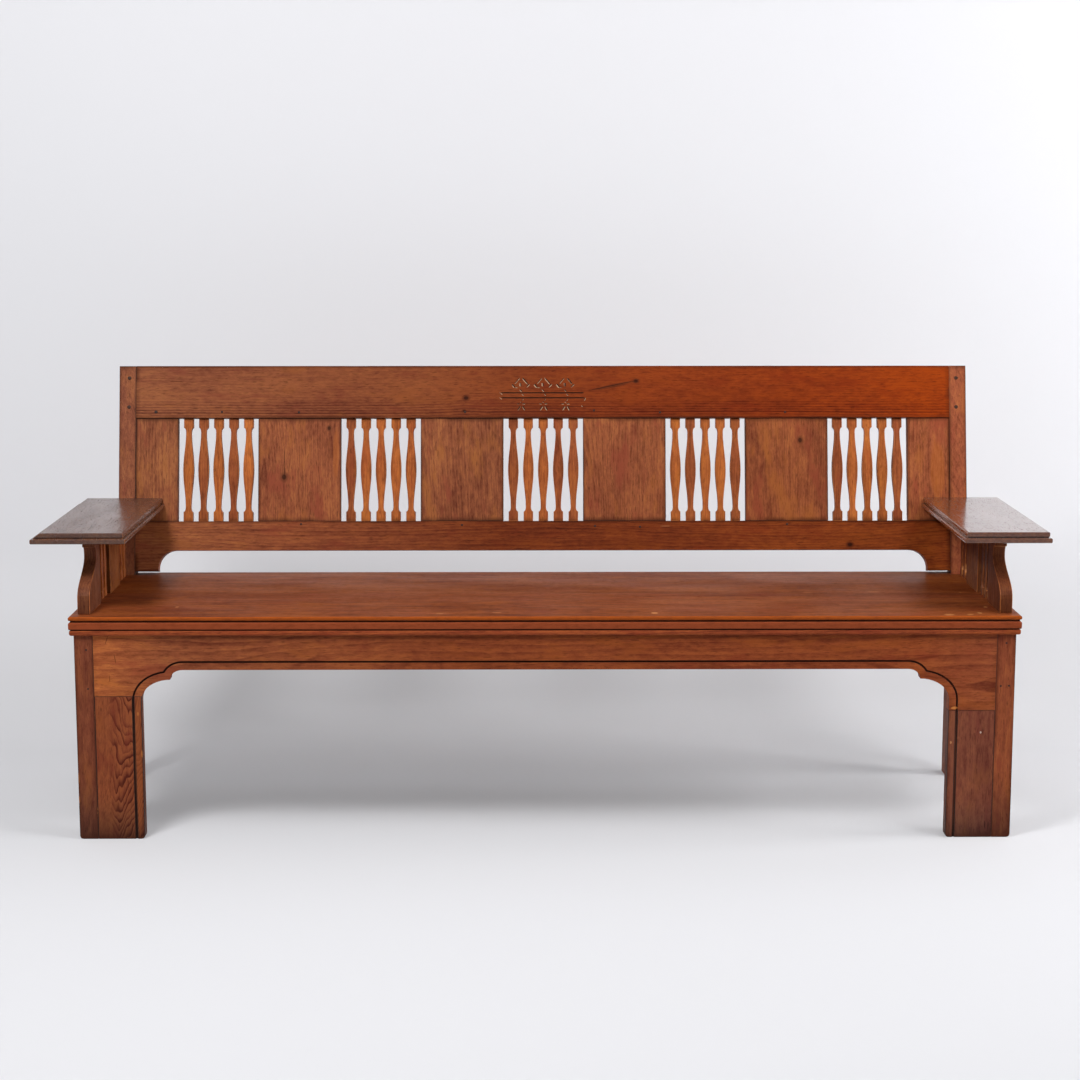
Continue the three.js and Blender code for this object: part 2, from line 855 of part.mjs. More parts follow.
function backBaluster(middle) {
  const height = backOpeningHeight - 2 * fit;
  const outline = balusterShape(height, blockHeight, shoulderHeight, swellSteps)
    .map(([x, z]) => [middle + x, lowerRailTop + fit + z]);
  const slat = boardAlongY(
    shapeOf(outline), railMiddle - balusterThickness / 2, railMiddle + balusterThickness / 2,
  );
  return join([slat, ...stubTenons(middle, balusterTenonWidth).map((t) => box(...t))]);
}

// Arms

const armTop = armUnder + armThickness;
const armInner = frameHalf - armReachIn;
const armOuterLeft = frameHalf + armOverhangLeft;
const armOuterRight = frameHalf + armOverhangRight;
const armUpperBead = (armThickness - armGrooveHeight) / 2;
const armProfile = twoBeadProfile(armUnder, armTop, {
  upperBead: armUpperBead,
  grooveHeight: armGrooveHeight,
  grooveDepth: armGrooveDepth,
  round: armBeadRound,
  setback: armUpperSetback,
});

// The left arm's outer edge slopes in above its groove
const armSlopeProfile = armProfile.map(([inset, z]) => {
  const share = (z - armTop + armUpperBead) / armUpperBead;
  if (share < 0) {
    return [inset, z];
  }
  return [armGrooveDepth + (armOuterSlope - armGrooveDepth) * share, z];
});

// The arm's rear edge is cut to the slope of the posts that it meets
function arm(side) {
  const [left, right] = side < 0 ? [-armOuterLeft, -armInner] : [armInner, armOuterRight];
  const board = profiledBoard(
    armProfile,
    { left, right, front: armFrontSetback, back: (z) => postFront(z) - fit },
    { left: side < 0 ? armSlopeProfile : armProfile, right: armProfile, front: armProfile },
  );
  const mortises = [
    scrollTenons(side)[1],
    slatTenons(side)[1],
    balusterTongues(side, 'front')[1],
    balusterTongues(side, 'rear')[1],
  ].map((tenon) => box(...grown(tenon)));
  return cut(board, mortises).add(box(...armTenon(side)));
}

// The S-shaped board at the front of each end
function armScroll(side) {
  const bottom = seatHeight + fit;
  const height = armUnder - seatHeight - 2 * fit;
  const y = (share) => scrollSetback + scrollCove * share;
  const z = (share) => bottom + height * share;
  const shape = new THREE.Shape();
  shape.moveTo(scrollBack, bottom);
  shape.lineTo(scrollBack, bottom + height);
  const upward = new THREE.Path();
  upward.moveTo(scrollSetback, bottom);
  for (const row of scrollEdgeShares) {
    if (row.length === 2) {
      upward.lineTo(y(row[0]), z(row[1]));
    } else {
      upward.bezierCurveTo(y(row[0]), z(row[1]), y(row[2]), z(row[3]), y(row[4]), z(row[5]));
    }
  }
  for (const point of upward.getPoints(7).reverse()) {
    shape.lineTo(point.x, point.y);
  }
  const [near, far] = side < 0 ? [-supportOuter, -supportInner] : [supportInner, supportOuter];
  const board = boardAlongX(shape, near, far);
  return join([board, ...scrollTenons(side).map((tenon) => box(...tenon))]);
}

function armSlat(side) {
  const slat = box(...onSide(side, [
    [supportInner, slatSetback, seatHeight + fit],
    [supportOuter, slatBack, armUnder - fit],
  ]));
  return join([slat, ...slatTenons(side).map((tenon) => box(...tenon))]);
}

// Short balusters under an arm, standing on one long tongue in the seat and in the arm
function armBalusters(side, opening) {
  const [front, back] = armOpenings[opening];
  const height = armUnder - seatHeight - 2 * fit;
  const outline = balusterShape(height, armBlockHeight, armShoulderHeight, armSwellSteps);
  const x = side * supportMiddle;
  const [lower, upper] = balusterTongues(side, opening);
  const pieces = [
    box(lower[0], [lower[1][0], lower[1][1], seatHeight + fit]),
    box([upper[0][0], upper[0][1], armUnder - fit], upper[1]),
  ];
  for (const middle of balusterPlaces((front + back) / 2, back - front)) {
    const shape = shapeOf(outline.map(([y, z]) => [middle + y, seatHeight + fit + z]));
    pieces.push(boardAlongX(shape, x - balusterThickness / 2, x + balusterThickness / 2));
    for (const tongue of [lower, upper]) {
      pieces.push(box(
        [tongue[0][0], middle - balusterTenonWidth / 2, tongue[0][2]],
        [tongue[1][0], middle + balusterTenonWidth / 2, tongue[1][2]],
      ));
    }
  }
  return join(pieces);
}

// The bench

function meshOf(name, solid, stain) {
  const mesh = new THREE.Mesh(geometryOf(solid), materialOf(stain));
  mesh.name = name;
  return mesh;
}

const frameGroup = new THREE.Group();
frameGroup.add(meshOf('front_apron', frontApron(), 'frame'));
frameGroup.add(meshOf('rear_apron', rearApron(), 'hidden'));

const seatGroup = new THREE.Group();
seatGroup.add(meshOf('seat_front_board', seatFrontBoard(), 'seat'));
seatGroup.add(meshOf('seat_back_board', seatBackBoard(), 'seat'));
seatGroup.add(meshOf('seat_moulding_front', mouldingFront(), 'seat'));

const backGroup = new THREE.Group();
backGroup.position.set(0, backSetback, seatHeight);
backGroup.rotation.x = -rake;
backGroup.add(meshOf('back_top_rail', topRail(), 'back'));
backGroup.add(meshOf('back_lower_rail', lowerRail(), 'back'));
panels.forEach((place, i) => {
  backGroup.add(meshOf(`back_panel_${i + 1}`, backPanel(place), 'panel'));
});
gaps.forEach((places, gap) => {
  places.forEach((middle, i) => {
    const name = `back_baluster_${gap + 1}_${i + 1}`;
    backGroup.add(meshOf(name, backBaluster(middle), 'baluster'));
  });
});

for (const [side, word] of [[-1, 'left'], [1, 'right']]) {
  frameGroup.add(meshOf(`front_post_${word}`, frontPost(side), 'leg'));
  frameGroup.add(meshOf(`leg_board_${word}`, legBoard(side), 'leg'));
  frameGroup.add(meshOf(`rear_post_${word}`, rearPost(side), 'back'));
  frameGroup.add(meshOf(`side_rail_${word}`, sideRail(side), 'hidden'));
  frameGroup.add(meshOf(`seat_bearer_${word}`, seatBearer(side), 'hidden'));
  seatGroup.add(meshOf(`seat_moulding_${word}`, mouldingSide(side), 'seat'));
  seatGroup.add(meshOf(`arm_${word}`, arm(side), 'arm'));
  seatGroup.add(meshOf(`arm_scroll_${word}`, armScroll(side), 'support'));
  seatGroup.add(meshOf(`arm_slat_${word}`, armSlat(side), 'support'));
  for (const opening of ['front', 'rear']) {
    const name = `arm_balusters_${opening}_${word}`;
    seatGroup.add(meshOf(name, armBalusters(side, opening), 'baluster'));
  }
}

// The origin lies on the floor under the middle of the bench, from arm to arm and front to back
const depthFront = -seatOverhang;
const depthBack =
  backSetback + backSlope * Math.sin(rake) + rearPostTopDepth * Math.cos(rake);
const bench = new THREE.Group();
bench.add(frameGroup, seatGroup, backGroup);
bench.position.x = (armOuterLeft - armOuterRight) / 2;
bench.position.y = -(depthFront + depthBack) / 2;

export default bench;
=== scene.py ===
# Looks for a long stained-pine bench with a raked back, sawn balusters and broad flat arms.
# Metres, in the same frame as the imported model: X along the bench, Y front to back, Z up.

import json
import math
import random

import bpy
import bmesh
from mathutils import Matrix, Vector

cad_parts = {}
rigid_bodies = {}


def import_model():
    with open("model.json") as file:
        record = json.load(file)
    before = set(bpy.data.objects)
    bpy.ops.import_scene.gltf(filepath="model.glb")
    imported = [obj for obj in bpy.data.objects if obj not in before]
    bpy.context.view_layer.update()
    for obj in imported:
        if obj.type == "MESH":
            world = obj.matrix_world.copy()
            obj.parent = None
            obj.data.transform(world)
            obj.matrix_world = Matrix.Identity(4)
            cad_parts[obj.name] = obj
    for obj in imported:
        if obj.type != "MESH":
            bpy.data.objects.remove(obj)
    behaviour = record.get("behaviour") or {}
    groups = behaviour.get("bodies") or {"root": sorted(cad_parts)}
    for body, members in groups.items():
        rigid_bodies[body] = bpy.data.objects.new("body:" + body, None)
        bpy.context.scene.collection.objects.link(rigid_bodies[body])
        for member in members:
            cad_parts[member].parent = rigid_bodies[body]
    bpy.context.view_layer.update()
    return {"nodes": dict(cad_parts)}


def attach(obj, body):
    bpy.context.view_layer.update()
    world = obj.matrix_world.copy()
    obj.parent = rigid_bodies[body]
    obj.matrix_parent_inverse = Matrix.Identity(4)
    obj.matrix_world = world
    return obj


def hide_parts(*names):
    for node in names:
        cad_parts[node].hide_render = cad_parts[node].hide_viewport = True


for thing in list(bpy.data.objects):
    bpy.data.objects.remove(thing)

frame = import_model()
nodes = frame["nodes"]

MM = 0.001
X, Y, Z = range(3)


def ends(node, axis):
    """Lowest and highest place of a CAD node along one axis of the frame."""
    places = [vertex.co[axis] for vertex in nodes[node].data.vertices]
    return min(places), max(places)


# Places of the bench that the looks need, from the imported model
SEAT_FRONT, _ = ends("seat_front_board", Y)
_, SEAT_TOP = ends("seat_front_board", Z)
LEGS_FRONT, _ = ends("front_post_left", Y)
BACK_FRONT, _ = ends("rear_post_left", Y)
MIDDLE = sum(ends("seat_front_board", X)) / 2  # not zero, as the left arm reaches further out
RAKE = math.radians(11.75)  # of the back

# The back's own frame: x from the middle of the bench, y into the back, z up its slope
BACK_FOOT = Vector((MIDDLE, BACK_FRONT, SEAT_TOP))
BACK_TURN = Matrix.Translation(BACK_FOOT) @ Matrix.Rotation(-RAKE, 4, "X")


def placed(name, data):
    """A new object in the scene."""
    thing = bpy.data.objects.new(name, data)
    bpy.context.scene.collection.objects.link(thing)
    return thing


# Camera, as fitted to the photograph

LENS, SENSOR = 75.0, 36.0  # millimetres
EYE_ASIDE = -0.0452  # X of the eye from the middle of the seat
EYE_BEFORE = 4.4463  # distance of the eye in front of the legs
EYE_HEIGHT = 1.3272
LOOK_DOWN = 0.1584  # radians below level
LOOK_RIGHT = 0.0076  # radians

camera_data = bpy.data.cameras.new("camera")
camera_data.lens = LENS
camera_data.sensor_width = SENSOR
camera = placed("camera", camera_data)
camera.location = (MIDDLE + EYE_ASIDE, LEGS_FRONT - EYE_BEFORE, EYE_HEIGHT)
camera.rotation_euler = (math.pi / 2 - LOOK_DOWN, 0.0, -LOOK_RIGHT)
bpy.context.scene.camera = camera


# Node trees

class Tree:
    """The nodes of a material or of the world, added one by one."""

    def __init__(self, owner):
        owner.use_nodes = True
        self.owner = owner
        self.nodes = owner.node_tree.nodes
        self.links = owner.node_tree.links
        self.nodes.clear()

    def add(self, kind, inputs=(), **settings):
        node = self.nodes.new("ShaderNode" + kind)
        for key, value in settings.items():
            setattr(node, key, value)
        for key, value in dict(inputs).items():
            self.put(node.inputs[key], value)
        return node

    def put(self, socket, value):
        if isinstance(value, bpy.types.NodeSocket):
            self.links.new(value, socket)
        elif isinstance(value, bpy.types.Node):
            self.links.new(value.outputs[0], socket)
        else:
            socket.default_value = value

    def math(self, operation, *values, clamp=False):
        node = self.add("Math", enumerate(values), operation=operation, use_clamp=clamp)
        return node.outputs[0]

    def total(self, *values):
        result = values[0]
        for value in values[1:]:
            result = self.math("ADD", result, value)
        return result

    def swing(self, value, size):
        """A noise between 0 and 1 as a swing of this size round zero."""
        return self.math("MULTIPLY", self.math("SUBTRACT", value, 0.5), size)

    def mapped(self, place, location=(0, 0, 0), rotation=(0, 0, 0), scale=(1, 1, 1), kind="POINT"):
        node = self.add("Mapping", vector_type=kind, inputs={
            "Vector": place, "Location": location, "Rotation": rotation, "Scale": scale,
        })
        return node.outputs[0]

    def spot(self, place, middle, size, turn=0.0):
        """Distance over the first two axes from a spot's middle, which is 1 at the spot's edge."""
        near = self.mapped(place, location=(*middle, 0.0), rotation=(0.0, 0.0, turn),
                           scale=(*size, 1.0), kind="TEXTURE")
        flat = self.add("VectorMath", {0: near, 1: (1.0, 1.0, 0.0)}, operation="MULTIPLY")
        return self.add("VectorMath", {0: flat}, operation="LENGTH").outputs["Value"]

    def noise(self, place, scale=(1, 1, 1), detail=3.0, roughness=0.55):
        node = self.add("TexNoise", inputs={
            "Vector": self.mapped(place, scale=scale), "Scale": 1.0, "Detail": detail,
            "Roughness": roughness,
        })
        return node.outputs["Fac"]

    def fine_noise(self, cycles, detail=3.0, roughness=0.6):
        """A noise that is the same in all directions, in cycles to a metre."""
        place = self.add("TexCoord").outputs["Object"]
        return self.noise(place, (cycles, cycles, cycles), detail, roughness)

    def ranged(self, value, low, high, to_low=0.0, to_high=1.0, smooth=True):
        node = self.add("MapRange", inputs={
            "Value": value, "From Min": low, "From Max": high,
            "To Min": to_low, "To Max": to_high,
        }, interpolation_type="SMOOTHSTEP" if smooth else "LINEAR")
        return node.outputs[0]

    def mix(self, share, first, second, blend="MIX"):
        node = self.add("Mix", data_type="RGBA", blend_type=blend)
        self.put(node.inputs[0], share)
        self.put(node.inputs[6], first)
        self.put(node.inputs[7], second)
        return node.outputs[2]

    def ramp(self, value, stops):
        node = self.add("ValToRGB", {"Fac": value})
        elements = node.color_ramp.elements
        while len(elements) < len(stops):
            elements.new(0.5)
        for element, (position, color) in zip(elements, stops):
            element.position = position
            element.color = (*color, 1.0)
        return node.outputs["Color"]

    def bump(self, height, strength, depth):
        node = self.add("Bump", {"Strength": strength, "Distance": depth, "Height": height})
        return node.outputs[0]

    def finish(self, inputs):
        shader = self.add("BsdfPrincipled", inputs)
        self.add("OutputMaterial", {"Surface": shader})
        return self.owner


def material_tree(name):
    return Tree(bpy.data.materials.new(name))


def rgba(color, factor=1.0):
    return (*(part * factor for part in color), 1.0)


def tinted(color, tint):
    return tuple(part * share for part, share in zip(color, tint))


# Wood

# Which of x, y and z run along the grain, across the board's face and into it
AXES = {
    "rail": (0, 2, 1),
    "upright": (2, 0, 1),
    "plank": (0, 1, 2),
    "arm": (1, 0, 2),
    "side": (1, 2, 0),
    "end": (2, 1, 0),
}

# Boards that show their upper side, and not their front
LYING = ("plank", "arm")

# The wood's noises: cycles to a metre along, across and into the grain, detail, roughness
NOISES = {
    "slow": ((1.3, 7.0, 7.0), 1.0, 0.55),
    "ripple": ((8.0, 32.0, 32.0), 2.0, 0.55),
    "fibre": ((9.0, 480.0, 480.0), 2.0, 0.6),
    "streak": ((2.4, 90.0, 90.0), 3.0, 0.65),
    "pores": ((60.0, 700.0, 700.0), 1.0, 0.55),
    "blotch": ((3.5, 11.0, 11.0), 3.0, 0.6),
    "hand": ((40.0, 110.0, 110.0), 5.0, 0.75),
    "fleck": ((30.0, 260.0, 260.0), 2.0, 0.5),
    "patch": ((8.0, 22.0, 22.0), 3.0, 0.65),
}

# Levels of a noise between which a layer comes in
PORE_LEVELS = (0.60, 0.68)
FLECK_LEVELS = (0.66, 0.72)
WORN_LEVELS = (0.52, 0.72)
FRESH_LEVELS = (0.46, 0.30)
DIRT_AND_SHADE_LEVELS = (0.25, 0.6)
BEAD_LEVELS = (0.4, 0.7)
SHINE_LEVELS = (0.3, 0.7)

# Distances from a spot's middle, 1 at its edge, between which a layer comes in
SWELL_REACH = (1.6, 0.2)
RIM_REACH = (2.0, 0.9)
EYE_REACH = (1.0, 0.6)
MARK_REACH = (1.1, 0.7)

# What the stain makes of a board's tone
PALER = (1.42, 1.6, 1.35)
DARKER = (0.42, 0.31, 0.36)
MORE_ORANGE = (1.3, 1.42, 0.95)
REDDER = (0.92, 0.72, 0.85)
PLAIN_SHADE = 0.42  # place of the plain tone between the palest and the darkest

# Shares of the tone that are left in dark places
SPECK_TONE, RIM_TONE, EYE_TONE, DIRT_AND_SHADE_TONE = 0.25, 0.45, 0.14, 0.3

# Colours of bare or chipped wood, and a near black for dirt and cracks, also used as painted shade
# in grooves
PALE = (0.55, 0.24, 0.09)
CHIP = (0.62, 0.22, 0.05)
DARK = (0.014, 0.006, 0.004)

# Sizes of the surface's detail
RELIEF = 0.0004  # depth of the grain's relief
ARRIS = 0.0009  # width of the rounding on an arris
SAME_PLACE = 0.00001  # distance within which the solid's points are one
SAME_PLANE = math.radians(0.6)  # angle within which two faces are one
SHARP = math.radians(40)  # angle from which an edge is an arris


class Board:
    """One board's node tree, with the axes of its grain, its size and its noises."""

    def __init__(self, node, seed, lay, raked):
        self.tree = t = material_tree("wood_" + node)
        place = t.add("TexCoord").outputs["Object"]
        if raked:
            place = t.mapped(place, tuple(BACK_FOOT), (-RAKE, 0, 0), kind="TEXTURE")
        split = t.add("SeparateXYZ", {"Vector": place})
        self.into, self.up = split.outputs["Y"], split.outputs["Z"]
        self.along, self.across, self.deep = (split.outputs[axis] for axis in AXES[lay])
        self.grain = t.add("CombineXYZ", {0: self.along, 1: self.across, 2: self.deep}).outputs[0]

        turn = BACK_TURN.inverted() if raked else Matrix.Identity(4)
        points = [turn @ vertex.co for vertex in nodes[node].data.vertices]
        lows = [min(point[axis] for point in points) for axis in AXES[lay]]
        highs = [max(point[axis] for point in points) for axis in AXES[lay]]
        self.mid_along, self.mid_across, _ = [(low + high) / 2 for low, high in zip(lows, highs)]
        self.half_along, self.half_across, _ = [(high - low) / 2 for low, high in zip(lows, highs)]
        self.face = highs[2] if lay in LYING else lows[2]

        draw = random.Random(seed)
        shifted = t.mapped(self.grain, location=[draw.uniform(-9, 9) for _ in range(3)])
        self.noise = {name: t.noise(shifted, *settings) for name, settings in NOISES.items()}
        pores = t.ranged(self.noise["pores"], *PORE_LEVELS)
        flecks = t.ranged(self.noise["fleck"], *FLECK_LEVELS)
        self.specks = t.math("MAXIMUM", pores, flecks)


def growth_rings(board, size, heart, slope, wave, span, knots):
    """The late wood of growth rings round a heart line, as the board's face cuts them."""
    long_bend, short_bend = 0.07 * wave, 0.007 * wave
    knot_size, knot_swell = (0.035, 0.018), 0.012
    ripening, last_of_year = 1.8, 0.88  # how late wood darkens, and when it ends
    weakest_year, year_range = 0.4, 0.8
    faint = 0.15  # what is left of the rings outside their span
    t = board.tree
    bend = t.total(
        t.swing(board.noise["slow"], long_bend), t.swing(board.noise["ripple"], short_bend),
    )
    swell = 0.0
    for *middle, _ in knots:
        reach = t.spot(board.grain, middle, knot_size)
        swell = t.math("ADD", swell, t.ranged(reach, *SWELL_REACH, 0.0, knot_swell))
    side = t.total(t.math("SUBTRACT", board.across, board.mid_across - heart[0]), bend)
    sloping = t.math("MULTIPLY_ADD", board.along, slope, heart[1] - slope * board.mid_along)
    depth = t.total(sloping, bend, swell, board.deep)
    squares = t.math("ADD", t.math("MULTIPLY", side, side), t.math("MULTIPLY", depth, depth))
    years = t.math("DIVIDE", t.math("SQRT", squares), size)
    season = t.math("FRACT", years)
    late = t.math(
        "MULTIPLY", t.math("POWER", season, ripening), t.ranged(season, 1.0, last_of_year),
    )
    luck = t.add("TexWhiteNoise", {"W": t.math("FLOOR", years)}, noise_dimensions="1D")
    strength = t.math("MULTIPLY_ADD", luck.outputs["Value"], year_range, weakest_year)
    late = t.math("MULTIPLY", late, strength)
    if span:
        start, end = (board.mid_across + share * board.half_across for share in span)
        late = t.math("MULTIPLY", late, t.ranged(board.across, start, end, faint, 1.0))
    return late


def stained(board, tone, late, rings, streaks, mottle, blotches, worn, specks):
    """The tone with rings, fibre, pores and blotches, and with redder and worn patches."""
    streak_swing, fibre_swing, patch_swing = 2.2, 0.6, 2.0
    paler_early_wood = 0.22  # for rings at full strength
    t, noise = board.tree, board.noise
    shade = t.total(
        t.math("MULTIPLY", late, rings),
        t.swing(noise["streak"], streak_swing * streaks),
        t.swing(noise["fibre"], fibre_swing),
        t.swing(noise["hand"], patch_swing * mottle),
        t.swing(noise["blotch"], patch_swing * blotches),
    )
    shade = t.math("ADD", shade, PLAIN_SHADE - paler_early_wood * rings, clamp=True)
    color = t.ramp(shade, (
        (0.0, tinted(tone, PALER)), (PLAIN_SHADE, tone), (1.0, tinted(tone, DARKER)),
    ))
    rubbed = t.ranged(noise["patch"], *WORN_LEVELS, 0.0, worn)
    color = t.mix(rubbed, color, rgba(tinted(tone, MORE_ORANGE)))
    fresh = t.ranged(noise["patch"], *FRESH_LEVELS, 0.0, worn)
    color = t.mix(fresh, color, rgba(tinted(tone, REDDER)))
    return t.mix(t.math("MULTIPLY", board.specks, specks), color, rgba(tone, SPECK_TONE))


def drifted(board, color, drift):
    """A tint that changes along the board, from one stop to the next."""
    t = board.tree
    low, high = board.mid_along - board.half_along, board.mid_along + board.half_along
    share = t.ranged(board.along, low, high, smooth=False)
    peak = max(max(tint) for _, tint in drift)
    stops = [(spot, [part / peak for part in tint]) for spot, tint in drift]
    color = t.mix(1.0, color, t.ramp(share, stops), "MULTIPLY")
    return t.mix(1.0, color, (peak, peak, peak, 1.0), "MULTIPLY")


def knotted(board, color, tone, knots):
    """Knots: a dark eye with a rim, drawn out along the grain."""
    width_share, rough_rim = 0.8, 0.6
    rim_strength, eye_strength = 0.75, 0.85
    t = board.tree
    for *middle, size in knots:
        reach = t.spot(board.grain, middle, (size, size * width_share))
        reach = t.total(reach, t.swing(board.noise["streak"], rough_rim))
        rim = t.ranged(reach, *RIM_REACH, 0.0, rim_strength)
        color = t.mix(rim, color, rgba(tone, RIM_TONE))
        eye = t.ranged(reach, *EYE_REACH, 0.0, eye_strength)
        color = t.mix(eye, color, rgba(tone, EYE_TONE))
    return color


def shade_and_dirt_by_joints(board, color, tone, shade_and_soil, tenon):
    """Painted shade and gathered dirt along the joints, in blotches."""
    from_end, from_edge = 0.012, 0.007
    t = board.tree
    end = t.math("ABSOLUTE", t.math("SUBTRACT", board.along, board.mid_along))
    edge = t.math("ABSOLUTE", t.math("SUBTRACT", board.across, board.mid_across))
    shown = board.half_along - tenon
    near_end = t.ranged(end, shown - from_end, shown)
    near_edge = t.ranged(edge, board.half_across - from_edge, board.half_across)
    near = t.math("MAXIMUM", near_end, near_edge)
    # Darker near the ends and edges where boards meet: painted shade, with dirt, in blotches
    dirt = t.math("MULTIPLY", near, t.ranged(board.noise["blotch"], *DIRT_AND_SHADE_LEVELS))
    return t.mix(t.math("MULTIPLY", dirt, shade_and_soil), color, rgba(tone, DIRT_AND_SHADE_TONE))


def edge_beads(board, color, height, upper, lower):
    """The seat's front edge in its own two tones, upper bead and lower one."""
    shallow, deep = SEAT_FRONT + 0.0026, SEAT_FRONT + 0.0036
    patch_strength, patch_tone = 0.5, 0.5
    t = board.tree
    beads = t.mix(t.math("GREATER_THAN", board.up, height), rgba(lower), rgba(upper))
    patches = t.ranged(board.noise["hand"], *BEAD_LEVELS, 0.0, patch_strength)
    beads = t.mix(patches, beads, rgba(lower, patch_tone))
    return t.mix(t.ranged(board.into, deep, shallow), color, beads)


def shade_and_dirt_in_grooves(board, color, groove, bands):
    """Painted shade and dirt in grooves: behind a front plane, or between two heights."""
    # From the mouth the wood darkens, fully dark by the second depth and fading past the floor:
    # painted shade in the groove, with dirt
    mouth, dirty, floor, beyond = 0.0005, 0.0016, 0.004, 0.006  # depths behind the plane
    groove_strength, band_strength = 0.95, 0.82
    t = board.tree
    if groove is not None:
        inside = t.ranged(board.into, groove + mouth, groove + dirty)
        before = t.ranged(board.into, groove + beyond, groove + floor)
        sunk = t.math("MULTIPLY", inside, before)
        color = t.mix(t.math("MULTIPLY", sunk, groove_strength), color, rgba(DARK))
    for low, high in bands:
        above = t.math("GREATER_THAN", board.up, low)
        sunk = t.math("MULTIPLY", above, t.math("LESS_THAN", board.up, high))
        color = t.mix(t.math("MULTIPLY", sunk, band_strength), color, rgba(DARK))
    return color


def marked(board, color, marks):
    """Chips, scrapes and stains, each at a place on the face and only as deep as a chip."""
    chip, gone = 0.003, 0.0055  # depths at which a mark begins to fade and has faded
    ragged = 0.8
    t = board.tree
    depth = t.math("ABSOLUTE", t.math("SUBTRACT", board.deep, board.face))
    near_face = t.ranged(depth, gone, chip)
    for middle, size, tint, strength, *skew in marks:
        reach = t.spot(board.grain, middle, size, math.radians(sum(skew)))
        reach = t.total(reach, t.swing(board.noise["fibre"], ragged))
        shown = t.math("MULTIPLY", near_face, t.ranged(reach, *MARK_REACH, 0.0, strength))
        color = t.mix(shown, color, rgba(tint))
    return color


def varnished(board, color, late, roughness, coat, gloss, pitted):
    """The finished surface, with the relief of fibre, rings and pores."""
    smoother, rougher, speck_roughness, coat_roughness = 0.05, 0.07, 0.15, 0.18
    fibre_rise, ring_rise, speck_fall, strength = 0.5, 0.4, -0.8, 0.4
    t, noise = board.tree, board.noise
    shine = t.total(
        t.ranged(noise["blotch"], *SHINE_LEVELS, roughness - smoother, roughness + rougher),
        t.math("MULTIPLY", board.specks, speck_roughness),
    )
    height = t.total(
        t.math("MULTIPLY", noise["fibre"], fibre_rise),
        t.math("MULTIPLY", late, ring_rise),
        t.math("MULTIPLY", board.specks, speck_fall),
        t.math("MULTIPLY", noise["hand"], pitted),
    )
    return t.finish({
        "Base Color": color, "Roughness": shine, "Normal": t.bump(height, strength, RELIEF),
        "Coat Weight": coat, "Coat Roughness": coat_roughness, "Specular IOR Level": gloss,
    })


def wood(node, seed, lay, tone, raked=False, ring_size=0.0055, heart=(0.25, 0.04), slope=0.03,
         wave=1.0, rings=0.5, ring_span=None, streaks=0.2, mottle=0.7, specks=0.5, blotches=0.5,
         worn=0.6, roughness=0.5, coat=0.0, gloss=0.08, pitted=0.0, shade_and_soil=0.8, groove=None,
         bands=(), nose=None, tenon=0.0, drift=(), knots=(), marks=()):
    """Stained pine on one board, layer by layer.

    heart is how far the tree's heart lies from the board's middle, on its low side, and before
    zero depth, and slope is how fast it draws away along the board. wave bends the rings, and
    ring_span fades them in across the board. streaks, mottle, specks, blotches, worn and pitted
    are strengths, as is that of the painted shade and dirt along the joints. groove is a plane
    behind which the wood is painted dark, as shade with dirt, bands are heights between which
    it is painted dark the same way, and nose gives a front edge its own tones. tenon is what a
    joint hides at each end, and drift is a tint that changes along the board.
    """
    board = Board(node, seed, lay, raked)
    late = growth_rings(board, ring_size, heart, slope, wave, ring_span, knots)
    color = stained(board, tone, late, rings, streaks, mottle, blotches, worn, specks)
    if drift:
        color = drifted(board, color, drift)
    color = knotted(board, color, tone, knots)
    # Painted shade and dirt along the joints
    if shade_and_soil:
        color = shade_and_dirt_by_joints(board, color, tone, shade_and_soil, tenon)
    if nose:
        color = edge_beads(board, color, *nose)
    # Grooves and bands painted dark: painted shade, with dirt
    color = shade_and_dirt_in_grooves(board, color, groove, bands)
    color = marked(board, color, marks)
    return varnished(board, color, late, roughness, coat, gloss, pitted)


def edge_wear(name, tone, rubbed, share, roughness=0.45):
    """Arrises: rubbed pale in places, dark with dirt in others. Also the walls of the carved cuts:
    paler cut wood with painted light on the lower ones, painted shade on the upper ones.
    """
    rubbed_from, rubbed_all = 0.62 - share, 0.78 - share
    smoother, rougher = 0.08, 0.12
    t = material_tree(name)
    coarse = t.fine_noise(26.0, 4.0, 0.65)
    fine = t.fine_noise(300.0, 2.0)
    spread = t.total(coarse, t.swing(fine, 0.4))
    return t.finish({
        "Base Color": t.mix(t.ranged(spread, rubbed_from, rubbed_all), rgba(tone), rgba(rubbed)),
        "Roughness": t.ranged(fine, *SHINE_LEVELS, roughness - smoother, roughness + rougher),
        "Normal": t.bump(fine, 0.5, RELIEF), "Specular IOR Level": 0.3,
    })


RUBBED_EDGE = edge_wear("edge_rubbed", (0.16, 0.04, 0.013), (0.48, 0.15, 0.035), 0.26)
DIRTY_EDGE = edge_wear("edge_dirty", (0.035, 0.012, 0.007), (0.16, 0.05, 0.02), 0.0, 0.6)
FOOT_EDGE = edge_wear("edge_chipped", (0.06, 0.02, 0.011), (0.36, 0.13, 0.04), 0.02, 0.6)


def round_arrises(piece):
    """A small rounding on the arrises of a mesh, in its second material."""
    weld = piece.modifiers.new("weld", "WELD")
    weld.merge_threshold = SAME_PLACE
    plain = piece.modifiers.new("plain", "DECIMATE")
    plain.decimate_type = "DISSOLVE"
    plain.angle_limit = SAME_PLANE
    rounding = piece.modifiers.new("rounding", "BEVEL")
    rounding.width = ARRIS
    rounding.segments = 2
    rounding.limit_method = "ANGLE"
    rounding.angle_limit = SHARP
    rounding.material = 1


def dress(node, material, edge):
    """Gives a CAD node its wood, and its arrises their own wear."""
    piece = nodes[node]
    piece.data.materials.clear()
    piece.data.materials.append(material)
    piece.data.materials.append(edge)
    round_arrises(piece)


